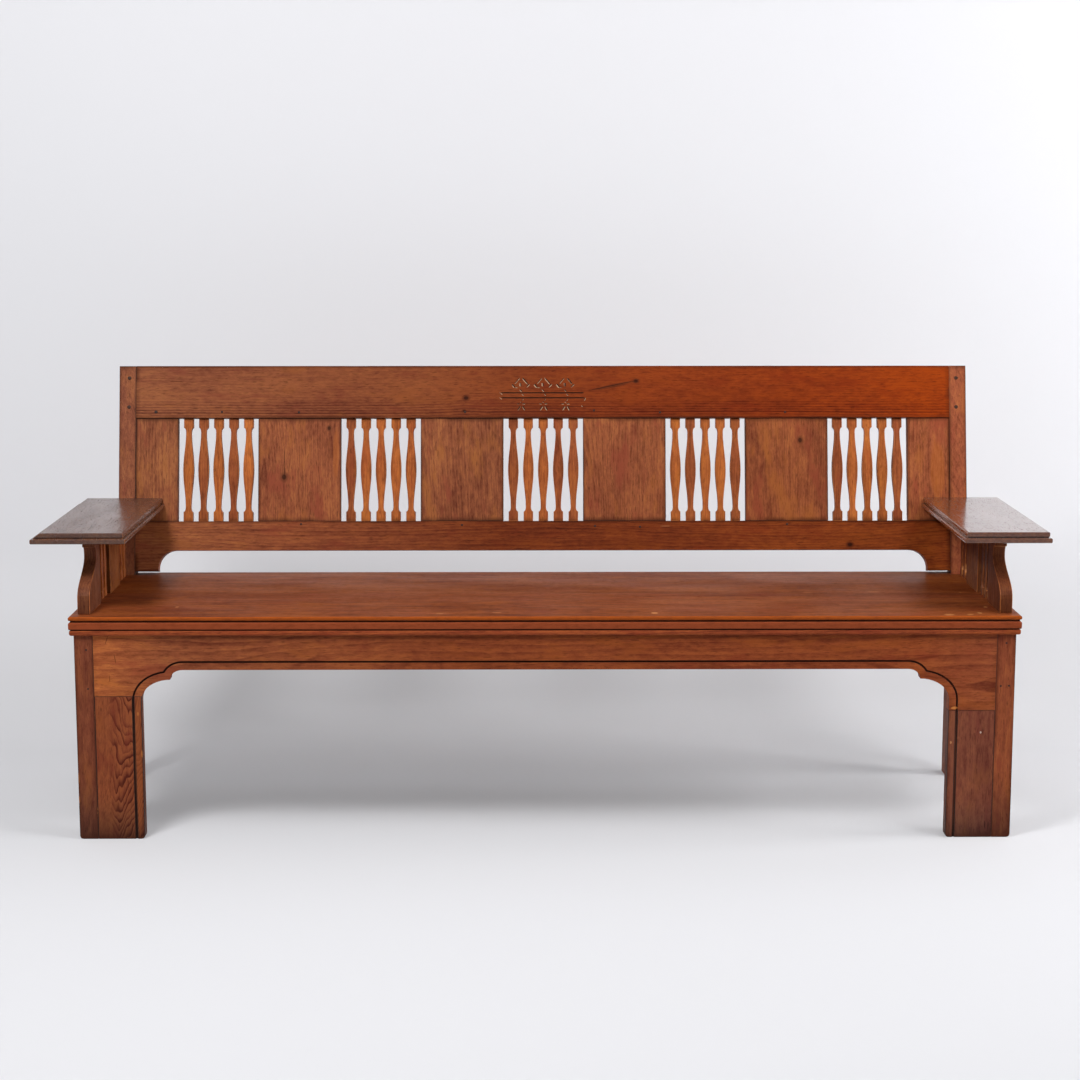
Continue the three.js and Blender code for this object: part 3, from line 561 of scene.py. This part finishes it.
# Tones, as the wood's own colour before light
RAIL = (0.205, 0.046, 0.015)
LOWER_RAIL = (0.165, 0.031, 0.009)
PANEL = (0.280, 0.086, 0.036)
POST = (0.295, 0.088, 0.039)
LEG = (0.228, 0.058, 0.024)
APRON = (0.250, 0.057, 0.0155)
SEAT = (0.202, 0.049, 0.015)
SEAT_BACK = (0.194, 0.046, 0.011)
SEAT_EDGE = (0.295, 0.062, 0.021)
UPPER_BEAD = (0.36, 0.075, 0.011)
BALUSTER = (0.430, 0.118, 0.030)
BALUSTER_RED = (0.325, 0.086, 0.028)
ARM = (0.105, 0.044, 0.028)
ARM_RIGHT = (0.14, 0.048, 0.024)
SUPPORT = (0.168, 0.052, 0.021)
HIDDEN = (0.175, 0.068, 0.031)
BALUSTER_SHARES = (0.92, 1.08)  # of its tone, between which a baluster's own tone lies

# Heights between which grooves run, painted dark with shade and dirt
ARM_GROOVE = (0.6181, 0.6199)
SEAT_GROOVES = ((0.4508, 0.4542), (0.4340, 0.4370))
MOULDING_GROOVE = (0.4338, 0.4362)
UPPER_BEAD_FROM = 0.4525

# Colours of marks: dark grain, a crack's rim, the beads beside the legs' grooves, and a fleck
DARK_GRAIN = (0.13, 0.022, 0.007)
CRACK_RIM = (0.07, 0.018, 0.006)
LEFT_BEAD = (0.31, 0.085, 0.026)
RIGHT_BEAD = (0.23, 0.075, 0.04)
WHITE_FLECK = (0.7, 0.6, 0.5)


def x_at(value):
    """X of a place given from the middle of the seat, in millimetres."""
    return MIDDLE + value * MM


# Legs are darker towards the feet
FOOT_DRIFT = (
    (0.0, (0.34, 0.42, 0.55)), (0.14, (0.76, 0.86, 0.95)),
    (0.3, (1.0, 1.0, 1.0)), (1.0, (1.0, 1.0, 1.0)),
)

# Settings of a board's wood, by the start of its node's name.
# A drift is a list of shares of the length, each with its tint.
BOARDS = {
    "back_top_rail": dict(
        lay="rail", tone=RAIL, raked=True, tenon=0.025, ring_size=0.0062, heart=(-0.11, 0.02),
        slope=0.006, rings=1.1, ring_span=(-0.1, -0.6), wave=0.35,
        drift=((0.0, (1.12, 1.5, 2.1)), (0.35, (0.95, 1.05, 1.2)), (0.5, (0.8, 0.62, 0.5)),
               (0.62, (0.95, 0.66, 0.4)), (1.0, (1.2, 0.66, 0.1))),
        knots=((-0.172, 0.394, 0.006), (-0.176, 0.365, 0.004), (0.207, 0.432, 0.005)),
        marks=(
            ((0.149, 0.4208), (0.058, 0.0012), DARK, 0.85, 12.0),
            ((0.158, 0.4215), (0.05, 0.0045), CRACK_RIM, 0.5, 12.0),
        ),
    ),
    "back_lower_rail": dict(
        lay="rail", tone=LOWER_RAIL, raked=True, tenon=0.025, heart=(0.3, 0.03),
        drift=((0.0, (1.85, 3.1, 4.6)), (0.2, (1.55, 2.2, 3.0)), (0.45, (1.0, 1.05, 1.0)),
               (1.0, (1.6, 1.7, 1.1))),
        knots=((0.6825, 0.066, 0.006),),
        marks=(((0.2707, 0.1077), (0.012, 0.0011), PALE, 0.4),),
    ),
    "rear_post": dict(lay="upright", tone=POST, heart=(0.08, 0.05), rings=0.2, shade_and_soil=0.7),
    "front_post": dict(
        lay="upright", tone=LEG, heart=(0.1, 0.03), rings=0.3, shade_and_soil=0.75, drift=FOOT_DRIFT,
    ),
    "leg_board_left": dict(
        lay="upright", tone=LEG, heart=(-0.012, 0.018), slope=0.14, ring_size=0.0022, rings=1.5,
        ring_span=(-0.4, 0.0), wave=1.7, shade_and_soil=0.8, groove=LEGS_FRONT, drift=FOOT_DRIFT,
    ),
    "leg_board_right": dict(
        lay="upright", tone=LEG, heart=(0.05, 0.04), slope=0.02, rings=0.3, shade_and_soil=0.8,
        groove=LEGS_FRONT, drift=FOOT_DRIFT,
    ),
    "front_apron": dict(
        lay="rail", tone=APRON, tenon=0.025, heart=(0.06, 0.03), slope=0.008, ring_size=0.006,
        rings=0.5, shade_and_soil=0.15, groove=LEGS_FRONT,
        drift=((0.0, (1.85, 2.2, 2.5)), (0.09, (1.15, 1.4, 2.0)), (0.4, (0.95, 0.92, 1.1)),
               (0.9, (1.08, 1.02, 1.15)), (1.0, (1.2, 1.3, 1.9))),
    ),
    "seat_front_board": dict(
        lay="plank", tone=SEAT, heart=(0.1, 0.05), slope=0.01, roughness=0.44, gloss=0.055,
        shade_and_soil=0.0, rings=0.4, ring_size=0.006, streaks=0.6,
        nose=(UPPER_BEAD_FROM, UPPER_BEAD, SEAT_EDGE), bands=SEAT_GROOVES,
    ),
    "seat_back_board": dict(
        lay="plank", tone=SEAT_BACK, heart=(-0.2, 0.05), slope=0.01, roughness=0.44,
        gloss=0.055, shade_and_soil=0.5, rings=0.4, ring_size=0.006, streaks=0.6,
    ),
    "seat_moulding_front": dict(lay="rail", tone=SEAT_EDGE, shade_and_soil=0.0, bands=(MOULDING_GROOVE,)),
    "seat_moulding": dict(lay="side", tone=SEAT_EDGE, shade_and_soil=0.0, bands=(MOULDING_GROOVE,)),
    "back_panel": dict(
        lay="upright", tone=PANEL, raked=True, tenon=0.009, heart=(0.09, 0.03), slope=0.05,
        rings=0.35, streaks=0.12, mottle=0.9, blotches=0.8, worn=0.85, shade_and_soil=0.9,
    ),
    "back_baluster": dict(
        lay="upright", tone=BALUSTER, raked=True, tenon=0.009, heart=(0.05, 0.02), rings=0.3,
        shade_and_soil=0.7,
    ),
    "arm_left": dict(
        lay="arm", tone=ARM, roughness=0.22, gloss=0.6, rings=0.35, shade_and_soil=0.0, specks=0.6,
        pitted=3.0, worn=0.15, bands=(ARM_GROOVE,),
    ),
    "arm_right": dict(
        lay="arm", tone=ARM_RIGHT, roughness=0.16, coat=0.85, gloss=0.5, rings=0.3, shade_and_soil=0.0,
        pitted=0.5, worn=0.2, bands=(ARM_GROOVE,),
    ),
    "arm_scroll": dict(lay="end", tone=SUPPORT, heart=(0.1, 0.03), shade_and_soil=0.3),
    "arm_slat": dict(lay="end", tone=SUPPORT, heart=(0.1, 0.03), shade_and_soil=0.6),
    "arm_balusters": dict(lay="end", tone=BALUSTER_RED, heart=(0.2, 0.03), shade_and_soil=0.3),
    "side_rail": dict(lay="side", tone=HIDDEN, roughness=0.7, gloss=0.2),
    "rear_apron": dict(lay="rail", tone=HIDDEN, roughness=0.7, gloss=0.2),
    "seat_bearer": dict(lay="arm", tone=HIDDEN, roughness=0.75, gloss=0.2),
}

# Boards of one kind differ in tone: the share of each part of the colour. On the arms' supports
# some shifts are painted light and painted shade.
TONE_AND_PAINTED_LIGHT_SHIFTS = {
    "back_panel_1": (0.98, 1.0, 1.02),
    "back_panel_2": (1.05, 1.0, 1.0),
    "back_panel_4": (1.02, 0.96, 0.92),
    "back_panel_5": (1.0, 0.9, 0.8),
    "back_panel_6": (1.2, 1.1, 1.0),
    "rear_post_left": (0.9, 0.95, 1.05),
    "rear_post_right": (1.15, 1.05, 1.0),
    "front_post_left": (0.95, 1.0, 1.15),
    "front_post_right": (1.15, 1.1, 1.1),
    "leg_board_left": (0.93, 0.88, 0.9),
    "leg_board_right": (0.93, 1.05, 1.4),
    "arm_scroll_right": (0.9, 0.8, 0.75),
    "arm_scroll_left": (1.0, 1.0, 1.15),
    # The left slat: brighter, painted light on its inner face, which is turned to the light from
    # the right
    "arm_slat_left": (1.35, 1.25, 0.8),
    # The right arm's balusters: darker, painted shade on faces turned away from that light
    "arm_balusters_front_right": (0.42, 0.5, 0.8),
    "arm_balusters_rear_right": (0.55, 0.6, 0.8),
}

# Place along and across the grain, and size
KNOTS = {
    "back_panel_2": ((0.218, -0.577, 0.008), (0.327, -0.477, 0.005)),
    "back_panel_5": ((0.2995, 0.573, 0.006),),
    "back_baluster_4_5": ((0.302, 0.401, 0.003),),
}

# Balusters that were sawn from a redder board
RED_BALUSTERS = ("1_2", "1_4", "2_1", "3_1", "3_4", "3_5", "4_2", "4_5", "5_1", "5_5")

# Boards whose arrises are rubbed pale
RUBBED = ("arm_", "seat_front", "seat_back", "seat_moulding", "back_baluster", "back_top_rail")

# A board's place in the sorted list of names seeds its grain, apart from the top rail's
OWN_SEEDS = {"back_top_rail": 77}

# Place and half-size along and across the grain, colour, strength, and any turn in degrees
MARKS = {
    "leg_board_left": (
        ((0.2614, x_at(-824.9)), (0.004, 0.0022), CHIP, 0.9),
        ((0.1781, x_at(-819.0)), (0.008, 0.0016), CHIP, 0.9),
        ((0.16, x_at(-826.0)), (0.16, 0.008), LEFT_BEAD, 0.55),
    ),
    "leg_board_right": (
        ((0.15, x_at(830.0)), (0.16, 0.007), RIGHT_BEAD, 0.55),
        ((0.199, x_at(824.0)), (0.003, 0.002), PALE, 0.9),
        ((0.22, x_at(884.0)), (0.0025, 0.0018), WHITE_FLECK, 0.8),
        ((0.025, x_at(905.0)), (0.008, 0.0012), DARK, 0.7),
        ((0.027, x_at(898.0)), (0.008, 0.0012), DARK, 0.7),
    ),
    "front_apron": (
        ((x_at(-884.0), 0.414), (0.010, 0.0012), DARK, 0.5, 70.0),
        ((x_at(-868.0), 0.375), (0.012, 0.0012), DARK, 0.5, 100.0),
        ((x_at(-880.0), 0.335), (0.008, 0.0012), DARK, 0.4, 90.0),
        ((x_at(829.4), 0.2708), (0.007, 0.0032), CHIP, 0.95),
        ((x_at(700.0), 0.352), (0.05, 0.007), DARK_GRAIN, 0.55, -14.0),
        ((x_at(760.0), 0.374), (0.045, 0.003), DARK_GRAIN, 0.5, 8.0),
        ((x_at(795.0), 0.334), (0.04, 0.002), DARK_GRAIN, 0.5, -5.0),
        ((x_at(830.0), 0.315), (0.04, 0.0016), DARK_GRAIN, 0.45, -3.0),
    ),
    "front_post_left": (
        ((0.128, x_at(-949.0)), (0.012, 0.0014), CHIP, 0.7),
        ((0.083, x_at(-949.0)), (0.008, 0.0014), CHIP, 0.7),
    ),
    "back_panel_2": (
        ((0.25, -0.5765), (0.035, 0.0009), DARK, 0.7),
        ((0.19, -0.5775), (0.03, 0.0007), DARK, 0.6),
        ((0.24, -0.566), (0.018, 0.0007), DARK, 0.5, 8.0),
        ((0.27, -0.462), (0.06, 0.007), (0.42, 0.118, 0.024), 0.4),
    ),
    "back_panel_6": (
        ((0.235, 0.88), (0.07, 0.018), (0.46, 0.125, 0.022), 0.4),
    ),
    "seat_front_board": (
        ((x_at(221.0), LEGS_FRONT + 0.028), (0.008, 0.009), PALE, 0.85),
        ((x_at(-99.0), LEGS_FRONT + 0.036), (0.012, 0.005), PALE, 0.45),
        ((x_at(-214.0), LEGS_FRONT + 0.026), (0.008, 0.005), PALE, 0.4),
        ((x_at(814.7), LEGS_FRONT + 0.006), (0.012, 0.007), PALE, 0.6),
        ((x_at(857.4), LEGS_FRONT + 0.008), (0.008, 0.006), PALE, 0.6),
        ((x_at(879.4), LEGS_FRONT + 0.024), (0.005, 0.008), PALE, 0.7),
        ((x_at(903.9), LEGS_FRONT + 0.088), (0.004, 0.009), PALE, 0.6),
        ((x_at(-756.0), LEGS_FRONT + 0.100), (0.004, 0.009), PALE, 0.5),
    ),
    "seat_back_board": (
        ((x_at(884.4), LEGS_FRONT + 0.247), (0.004, 0.012), PALE, 0.6),
        ((x_at(700.0), LEGS_FRONT + 0.262), (0.014, 0.006), PALE, 0.35),
        ((x_at(560.0), LEGS_FRONT + 0.258), (0.012, 0.005), PALE, 0.3),
    ),
    "arm_balusters_front_right": (
        ((0.484, -0.064), (0.014, 0.006), PALE, 0.75),
        ((0.476, -0.098), (0.01, 0.005), PALE, 0.7),
        ((0.472, -0.131), (0.007, 0.005), PALE, 0.6),
    ),
    "arm_balusters_rear_right": (
        ((0.492, 0.078), (0.018, 0.006), PALE, 0.75),
        ((0.484, 0.111), (0.014, 0.005), PALE, 0.7),
        ((0.476, 0.145), (0.012, 0.005), PALE, 0.6),
    ),
    "arm_right": (
        ((-0.246, 0.996), (0.003, 0.02), DARK, 0.7, 8.0),
        ((-0.258, 1.005), (0.003, 0.014), DARK, 0.6, -10.0),
    ),
}


def recipe(node):
    """A board's own settings: those of the longest matching name."""
    matches = [name for name in BOARDS if node.startswith(name)]
    settings = dict(BOARDS[max(matches, key=len)])
    shift = TONE_AND_PAINTED_LIGHT_SHIFTS.get(node, (1.0, 1.0, 1.0))
    if node.startswith("back_baluster"):
        settings["tone"] = BALUSTER_RED if node.endswith(RED_BALUSTERS) else BALUSTER
        shift = [random.Random(node).uniform(*BALUSTER_SHARES)] * 3
    settings["tone"] = tinted(settings["tone"], shift)
    settings["knots"] = settings.get("knots", ()) + KNOTS.get(node, ())
    settings["marks"] = settings.get("marks", ()) + MARKS.get(node, ())
    return settings


def edge_of(node):
    if node.startswith("front_post"):
        return FOOT_EDGE
    if node.startswith(RUBBED):
        return RUBBED_EDGE
    return DIRTY_EDGE


for number, name in enumerate(sorted(nodes)):
    seed = OWN_SEEDS.get(name, number)
    dress(name, wood(name, seed, **recipe(name)), edge_of(name))


# The incised ornament: the top rail again, with its strokes cut into it

STROKE_LIFT = 0.3  # how far the cutter of a stroke stands before the face, in millimetres
LONGEST_TAPER = 4.0  # length of a stroke's pointed end, in millimetres
TAPER_SHARE = 0.18  # the same as a share of a short stroke
FLOOR_SHARE = 1.1  # of the pointed end, after which the stroke is at its full depth

# The cuts' walls: the lower ones paler cut wood with painted light, the upper ones painted shade
CUT_PALE_WITH_PAINTED_LIGHT = edge_wear("cut_lower_walls_pale_with_painted_light", (0.20, 0.09, 0.045), (0.50, 0.32, 0.19), 0.3, 0.4)
CUT_PAINTED_SHADE = edge_wear("cut_upper_walls_painted_shade", (0.02, 0.01, 0.006), (0.1, 0.04, 0.02), 0.0, 0.5)


def finished_mesh(mesh, name, materials):
    """Mesh data from a bmesh, with its faces turned outward."""
    bmesh.ops.recalc_face_normals(mesh, faces=mesh.faces)
    data = bpy.data.meshes.new(name)
    mesh.to_mesh(data)
    mesh.free()
    for material in materials:
        data.materials.append(material)
    return data


def carved_stroke(mesh, start, end, width, depth, walls):
    """A tapering V-shaped cut between two places on the back's face, in millimetres."""
    lower, upper = walls
    a, b = Vector(start), Vector(end)
    along = b - a
    across = Vector((-along.y, along.x)).normalized() * width / 2
    if across.y < 0:
        across = -across
    taper = min(TAPER_SHARE, LONGEST_TAPER / along.length)
    inset = taper * FLOOR_SHARE
    mouth = -STROKE_LIFT

    def place(share, side, into):
        spot = a + along * share + across * side
        return BACK_TURN @ Vector((spot.x * MM, into * MM, spot.y * MM))

    ring = [place(*step) for step in (
        (0.0, 0, mouth), (taper, 1, mouth), (1.0 - taper, 1, mouth),
        (1.0, 0, mouth), (1.0 - taper, -1, mouth), (taper, -1, mouth),
    )]
    floor = [place(inset, 0, depth), place(1.0 - inset, 0, depth)]
    points = [mesh.verts.new(point) for point in ring + floor]
    # walls gives the materials of the lower and the upper walls: painted light and painted shade
    for face, wall in (
        ((0, 1, 2, 3, 4, 5), upper), ((0, 6, 1), upper), ((1, 6, 7, 2), upper),
        ((2, 7, 3), upper), ((3, 7, 4), lower), ((4, 7, 6, 5), lower), ((5, 6, 0), lower),
    ):
        mesh.faces.new([points[i] for i in face]).material_index = wall


# Material slots of a cut's walls: the painted light and the painted shade
LIT_WALL, SHADED_WALL = 0, 1
PAINTED_LIT_AND_SHADED = (LIT_WALL, SHADED_WALL)
ALL_PAINTED_SHADE = (SHADED_WALL, SHADED_WALL)
ALL_PALE_WITH_PAINTED_LIGHT = (LIT_WALL, LIT_WALL)

# Strokes of one motif, from its own middle: start, end, width and depth
MOTIF = (
    ((-2.1, 439.3), (-14.6, 424.6), 3.0, 1.2),
    ((-20.4, 425.4), (-13.4, 416.3), 5.0, 1.8),
    ((2.8, 439.3), (15.6, 424.2), 4.4, 1.8),
    ((19.8, 425.4), (11.9, 417.6), 4.0, 1.4),
    ((-13.4, 417.8), (-7.0, 417.4), 2.8, 1.0),
    ((-1.6, 428.4), (-1.2, 419.4), 5.4, 1.4),
    ((-3.0, 413.4), (2.2, 407.6), 3.6, 1.4),
    ((2.0, 403.4), (6.6, 399.2), 3.2, 1.2),
    ((5.4, 392.4), (2.0, 387.8), 2.8, 1.0),
    ((-0.8, 386.4), (0.8, 382.8), 3.0, 1.0),
    ((-9.0, 380.9), (-3.0, 380.6), 2.8, 1.0),
    ((2.4, 380.9), (9.8, 380.9), 3.4, 1.1),
    ((-0.9, 376.1), (-7.5, 365.8), 4.0, 1.4),
    ((3.5, 376.1), (9.0, 365.8), 4.2, 1.5),
)
MOTIF_MIDDLES = (-49.6, 0.1, 49.8)

# Lines across the motifs and short cuts at their ends, with the painted light and painted shade of
# their walls
LINES = (
    ((-96.0, 405.6), (92.0, 405.6), 3.0, 1.5, ALL_PAINTED_SHADE),
    ((-96.0, 394.6), (94.6, 394.4), 3.0, 1.5, ALL_PAINTED_SHADE),
    ((-98.4, 407.4), (-90.4, 401.4), 2.4, 1.0, ALL_PALE_WITH_PAINTED_LIGHT),
    ((-98.4, 396.4), (-91.4, 390.6), 2.4, 1.0, ALL_PALE_WITH_PAINTED_LIGHT),
    ((94.8, 394.6), (90.6, 387.6), 3.2, 1.2, PAINTED_LIT_AND_SHADED),
    ((85.4, 377.4), (88.4, 374.2), 3.0, 1.0, PAINTED_LIT_AND_SHADED),
)


def ornament_cutter():
    mesh = bmesh.new()
    for middle in MOTIF_MIDDLES:
        for start, end, width, depth in MOTIF:
            start, end = ((x + middle, up) for x, up in (start, end))
            carved_stroke(mesh, start, end, width, depth, PAINTED_LIT_AND_SHADED)
    for start, end, width, depth, walls in LINES:
        carved_stroke(mesh, start, end, width, depth, walls)
    return placed("strokes", finished_mesh(mesh, "strokes", (CUT_PALE_WITH_PAINTED_LIGHT, CUT_PAINTED_SHADE)))


def carved_rail():
    copy = placed("carved_top_rail", nodes["back_top_rail"].data.copy())
    round_arrises(copy)
    cutter = ornament_cutter()
    cut = copy.modifiers.new("cut", "BOOLEAN")
    cut.operation = "DIFFERENCE"
    cut.solver = "EXACT"
    cut.use_self = True
    cut.material_mode = "TRANSFER"
    cut.object = cutter
    whole = copy.evaluated_get(bpy.context.evaluated_depsgraph_get())
    mesh = bpy.data.meshes.new_from_object(whole)
    copy.modifiers.clear()
    copy.data = mesh
    bpy.data.objects.remove(cutter)
    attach(copy, "root")
    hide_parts("back_top_rail")


carved_rail()


# Pegs and nails

def end_grain(name, tone):
    """The dark end of a dowel."""
    t = material_tree(name)
    fine = t.fine_noise(500.0)
    return t.finish({
        "Base Color": t.mix(t.ranged(fine, *SHINE_LEVELS), rgba(tone, 0.6), rgba(tone, 1.6)),
        "Roughness": t.ranged(fine, *SHINE_LEVELS, 0.5, 0.7),
        "Normal": t.bump(fine, 0.6, 0.0003), "Specular IOR Level": 0.25,
    })


def nail_iron(name, dark, bright):
    """Dull iron, brighter where it is rubbed."""
    t = material_tree(name)
    fine = t.fine_noise(700.0)
    return t.finish({
        "Base Color": t.mix(t.ranged(fine, 0.35, 0.7), rgba(dark), rgba(bright)),
        "Roughness": t.ranged(fine, *SHINE_LEVELS, 0.45, 0.7),
        "Normal": t.bump(fine, 0.6, 0.0002), "Metallic": 0.6,
    })


PEG = end_grain("peg_end_grain", (0.045, 0.018, 0.01))
NAIL = nail_iron("nail_iron", (0.02, 0.012, 0.01), (0.07, 0.035, 0.025))


def domed_disc(name, turn, middle, shape, seed, material):
    """A low dome with a wavy rim, set into a face: turn maps (x, into, up) to the frame."""
    radius, rise, sunk = shape
    draw = random.Random(seed)
    sides, least_share, most_share = 14, 0.9, 1.08
    rim = [radius * draw.uniform(least_share, most_share) for _ in range(sides)]
    # Rings from the sunk rim to the top of the dome: share of the radius, and depth
    profile = ((1.0, sunk), (1.0, -rise * 0.35), (0.8, -rise * 0.8), (0.4, -rise))
    mesh = bmesh.new()
    rings = []
    for share, into in profile:
        ring = []
        for i in range(sides):
            angle = 2 * math.pi * i / sides
            x = middle[0] * MM + rim[i] * share * math.cos(angle)
            up = middle[1] * MM + rim[i] * share * math.sin(angle)
            ring.append(mesh.verts.new(turn @ Vector((x, into, up))))
        rings.append(ring)
    for lower, upper in zip(rings, rings[1:]):
        for i in range(sides):
            j = (i + 1) % sides
            mesh.faces.new((lower[i], lower[j], upper[j], upper[i]))
    mesh.faces.new(rings[-1])
    mesh.faces.new(list(reversed(rings[0])))
    for face in mesh.faces:
        face.smooth = True
    piece = placed(name, finished_mesh(mesh, name, (material,)))
    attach(piece, "root")


FRONT_TURN = Matrix.Translation((MIDDLE, LEGS_FRONT, 0.0))

# Places in millimetres from the middle of the bench, and up the back's slope
PEG_PLACES = ((-922, 439.2), (-922.5, 374.3), (922.5, 438.4), (922, 373.4))
LARGE_NAIL = (-862.6, 363.3)
RAIL_NAILS = (
    LARGE_NAIL, (-715.7, 363.2), (-544.3, 362.2), (-174.4, 362.8), (113.3, 366.0),
    (260.5, 361.6), (539.7, 362.2), (-539.0, 112.8), (-181.1, 110.5), (114.8, 108.0),
    (215.0, 106.0), (542.5, 111.7),
)

# Nails of the front frame, up from the floor
FRAME_NAILS = ((-925.7, 393.7), (-924.2, 313.3), (930.7, 405.0), (921.9, 316.3), (938.6, 316.9))

# Radius, how far the dome rises, and how deep it is set, in metres
PEG_SHAPE = (0.0042, 0.0005, 0.004)
RAIL_NAIL_SHAPE = (0.0026, 0.0004, 0.002)
LARGE_NAIL_SHAPE = (0.0036, 0.0004, 0.002)
FRAME_NAIL_SHAPE = (0.0021, 0.0003, 0.002)

for i, place in enumerate(PEG_PLACES):
    domed_disc(f"peg_{i + 1}", BACK_TURN, place, PEG_SHAPE, i, PEG)
for i, place in enumerate(RAIL_NAILS):
    shape = LARGE_NAIL_SHAPE if place == LARGE_NAIL else RAIL_NAIL_SHAPE
    domed_disc(f"rail_nail_{i + 1}", BACK_TURN, place, shape, i, NAIL)
for i, place in enumerate(FRAME_NAILS):
    domed_disc(f"frame_nail_{i + 1}", FRONT_TURN, place, FRAME_NAIL_SHAPE, i, NAIL)


# Stage: a paper sweep close behind the bench, and a plain floor all round

PAPER_LOW, PAPER_HIGH = (0.53, 0.53, 0.548), (0.63, 0.63, 0.654)
PAPER_HIGH_FROM = 0.5  # height from which the paper has its upper tone
PAPER_TINT = (0.98, 0.98, 1.0)
PAPER_GLOW = 0.2  # added for the camera and for reflections


def paper():
    """Pale paper, a little brighter to the camera and to reflections, and clear from its back."""
    t = material_tree("paper")
    place = t.add("TexCoord").outputs["Object"]
    height = t.add("SeparateXYZ", {"Vector": place}).outputs["Z"]
    upper = t.ranged(height, 0.0, PAPER_HIGH_FROM)
    rays = t.add("LightPath").outputs
    seen = t.math("MAXIMUM", rays["Is Camera Ray"], rays["Is Glossy Ray"])
    seen = t.math("MAXIMUM", seen, rays["Is Transmission Ray"])
    glow = t.math("MULTIPLY", seen, PAPER_GLOW)
    back = t.add("NewGeometry").outputs["Backfacing"]
    return t.finish({
        "Base Color": t.mix(upper, rgba(PAPER_LOW), rgba(PAPER_HIGH)),
        "Roughness": 0.9, "Specular IOR Level": 0.0,
        "Emission Color": rgba(PAPER_TINT), "Emission Strength": glow,
        "Alpha": t.math("SUBTRACT", 1.0, back),
    })


def stage_sheet(name, points, faces, material):
    mesh = bpy.data.meshes.new(name)
    mesh.from_pydata(points, [], faces)
    mesh.update()
    for face in mesh.polygons:
        face.use_smooth = True
    mesh.materials.append(material)
    sheet = placed(name, mesh)


def sweep(material):
    """Floor and wall in one sheet, with a curve between them."""
    front, crease = -2.6, 0.46  # Y of the floor's front edge, and of where the curve begins
    radius, half_width, high, steps = 0.42, 4.0, 4.0, 16
    section = [(front, 0.0), (crease, 0.0)]
    for step in range(1, steps + 1):
        turn = step / steps * math.pi / 2
        section.append((crease + radius * math.sin(turn), radius * (1 - math.cos(turn))))
    section.append((crease + radius, high))
    points = [(x, y, z) for x in (-half_width, half_width) for y, z in section]
    count = len(section)
    faces = [(i, count + i, count + i + 1, i + 1) for i in range(count - 1)]
    stage_sheet("sweep", points, faces, material)


def ground(material):
    """A wide floor just under the sweep, for views from the sides and from behind."""
    far, level = 40.0, -0.0005
    points = [(-far, -far, level), (far, -far, level), (far, far, level), (-far, far, level)]
    stage_sheet("ground", points, [(0, 1, 2, 3)], material)


PAPER = paper()
sweep(PAPER)
ground(PAPER)


# Light

AIM = Vector((0.0, 0.0, 0.4))

# Name, azimuth from the front to the right, elevation, distance, size and power
LAMPS = (
    ("right_side", 84, 20, 3.6, 1.0, 54),
    ("right_front", 56, 48, 3.6, 0.9, 37),
    ("left_front", -36, 47, 3.7, 0.9, 79),
)


def softbox(name, azimuth, elevation, distance, size, power):
    """A square soft light aimed at the bench."""
    az, el = math.radians(azimuth), math.radians(elevation)
    data = bpy.data.lights.new(name, "AREA")
    data.size = size
    data.energy = power
    lamp = placed(name, data)
    outward = Vector((math.cos(el) * math.sin(az), -math.cos(el) * math.cos(az), math.sin(el)))
    lamp.location = AIM + outward * distance
    lamp.rotation_euler = (-outward).to_track_quat("-Z", "Y").to_euler()


for lamp in LAMPS:
    softbox(*lamp)

CEILING, SIDES, DIM_ROOM = 0.4, 0.25, 0.06  # strengths that light the bench
SHOWN_ROOM = 0.8  # strength that the camera sees
ROOM_TINT = (0.97, 0.98, 1.0)


def room():
    """Soft light from the ceiling and the sides of a dim room, which is pale to the camera."""
    world = bpy.data.worlds.new("world")
    t = Tree(world)
    split = t.add("SeparateXYZ", {"Vector": t.add("TexCoord").outputs["Generated"]})
    sideways = t.math("ABSOLUTE", split.outputs["X"])
    from_above = t.ranged(split.outputs["Z"], 0.0, 0.7, DIM_ROOM, CEILING, smooth=False)
    from_sides = t.ranged(sideways, 0.6, 0.95, DIM_ROOM, SIDES, smooth=False)
    brighter = t.math("MAXIMUM", from_above, from_sides)
    seen = t.math("MULTIPLY", t.add("LightPath").outputs["Is Camera Ray"], SHOWN_ROOM)
    background = t.add("Background", {
        "Color": rgba(ROOM_TINT), "Strength": t.math("MAXIMUM", brighter, seen),
    })
    t.add("OutputWorld", {"Surface": background})
    bpy.context.scene.world = world


room()

bpy.context.scene.view_settings.view_transform = "Standard"
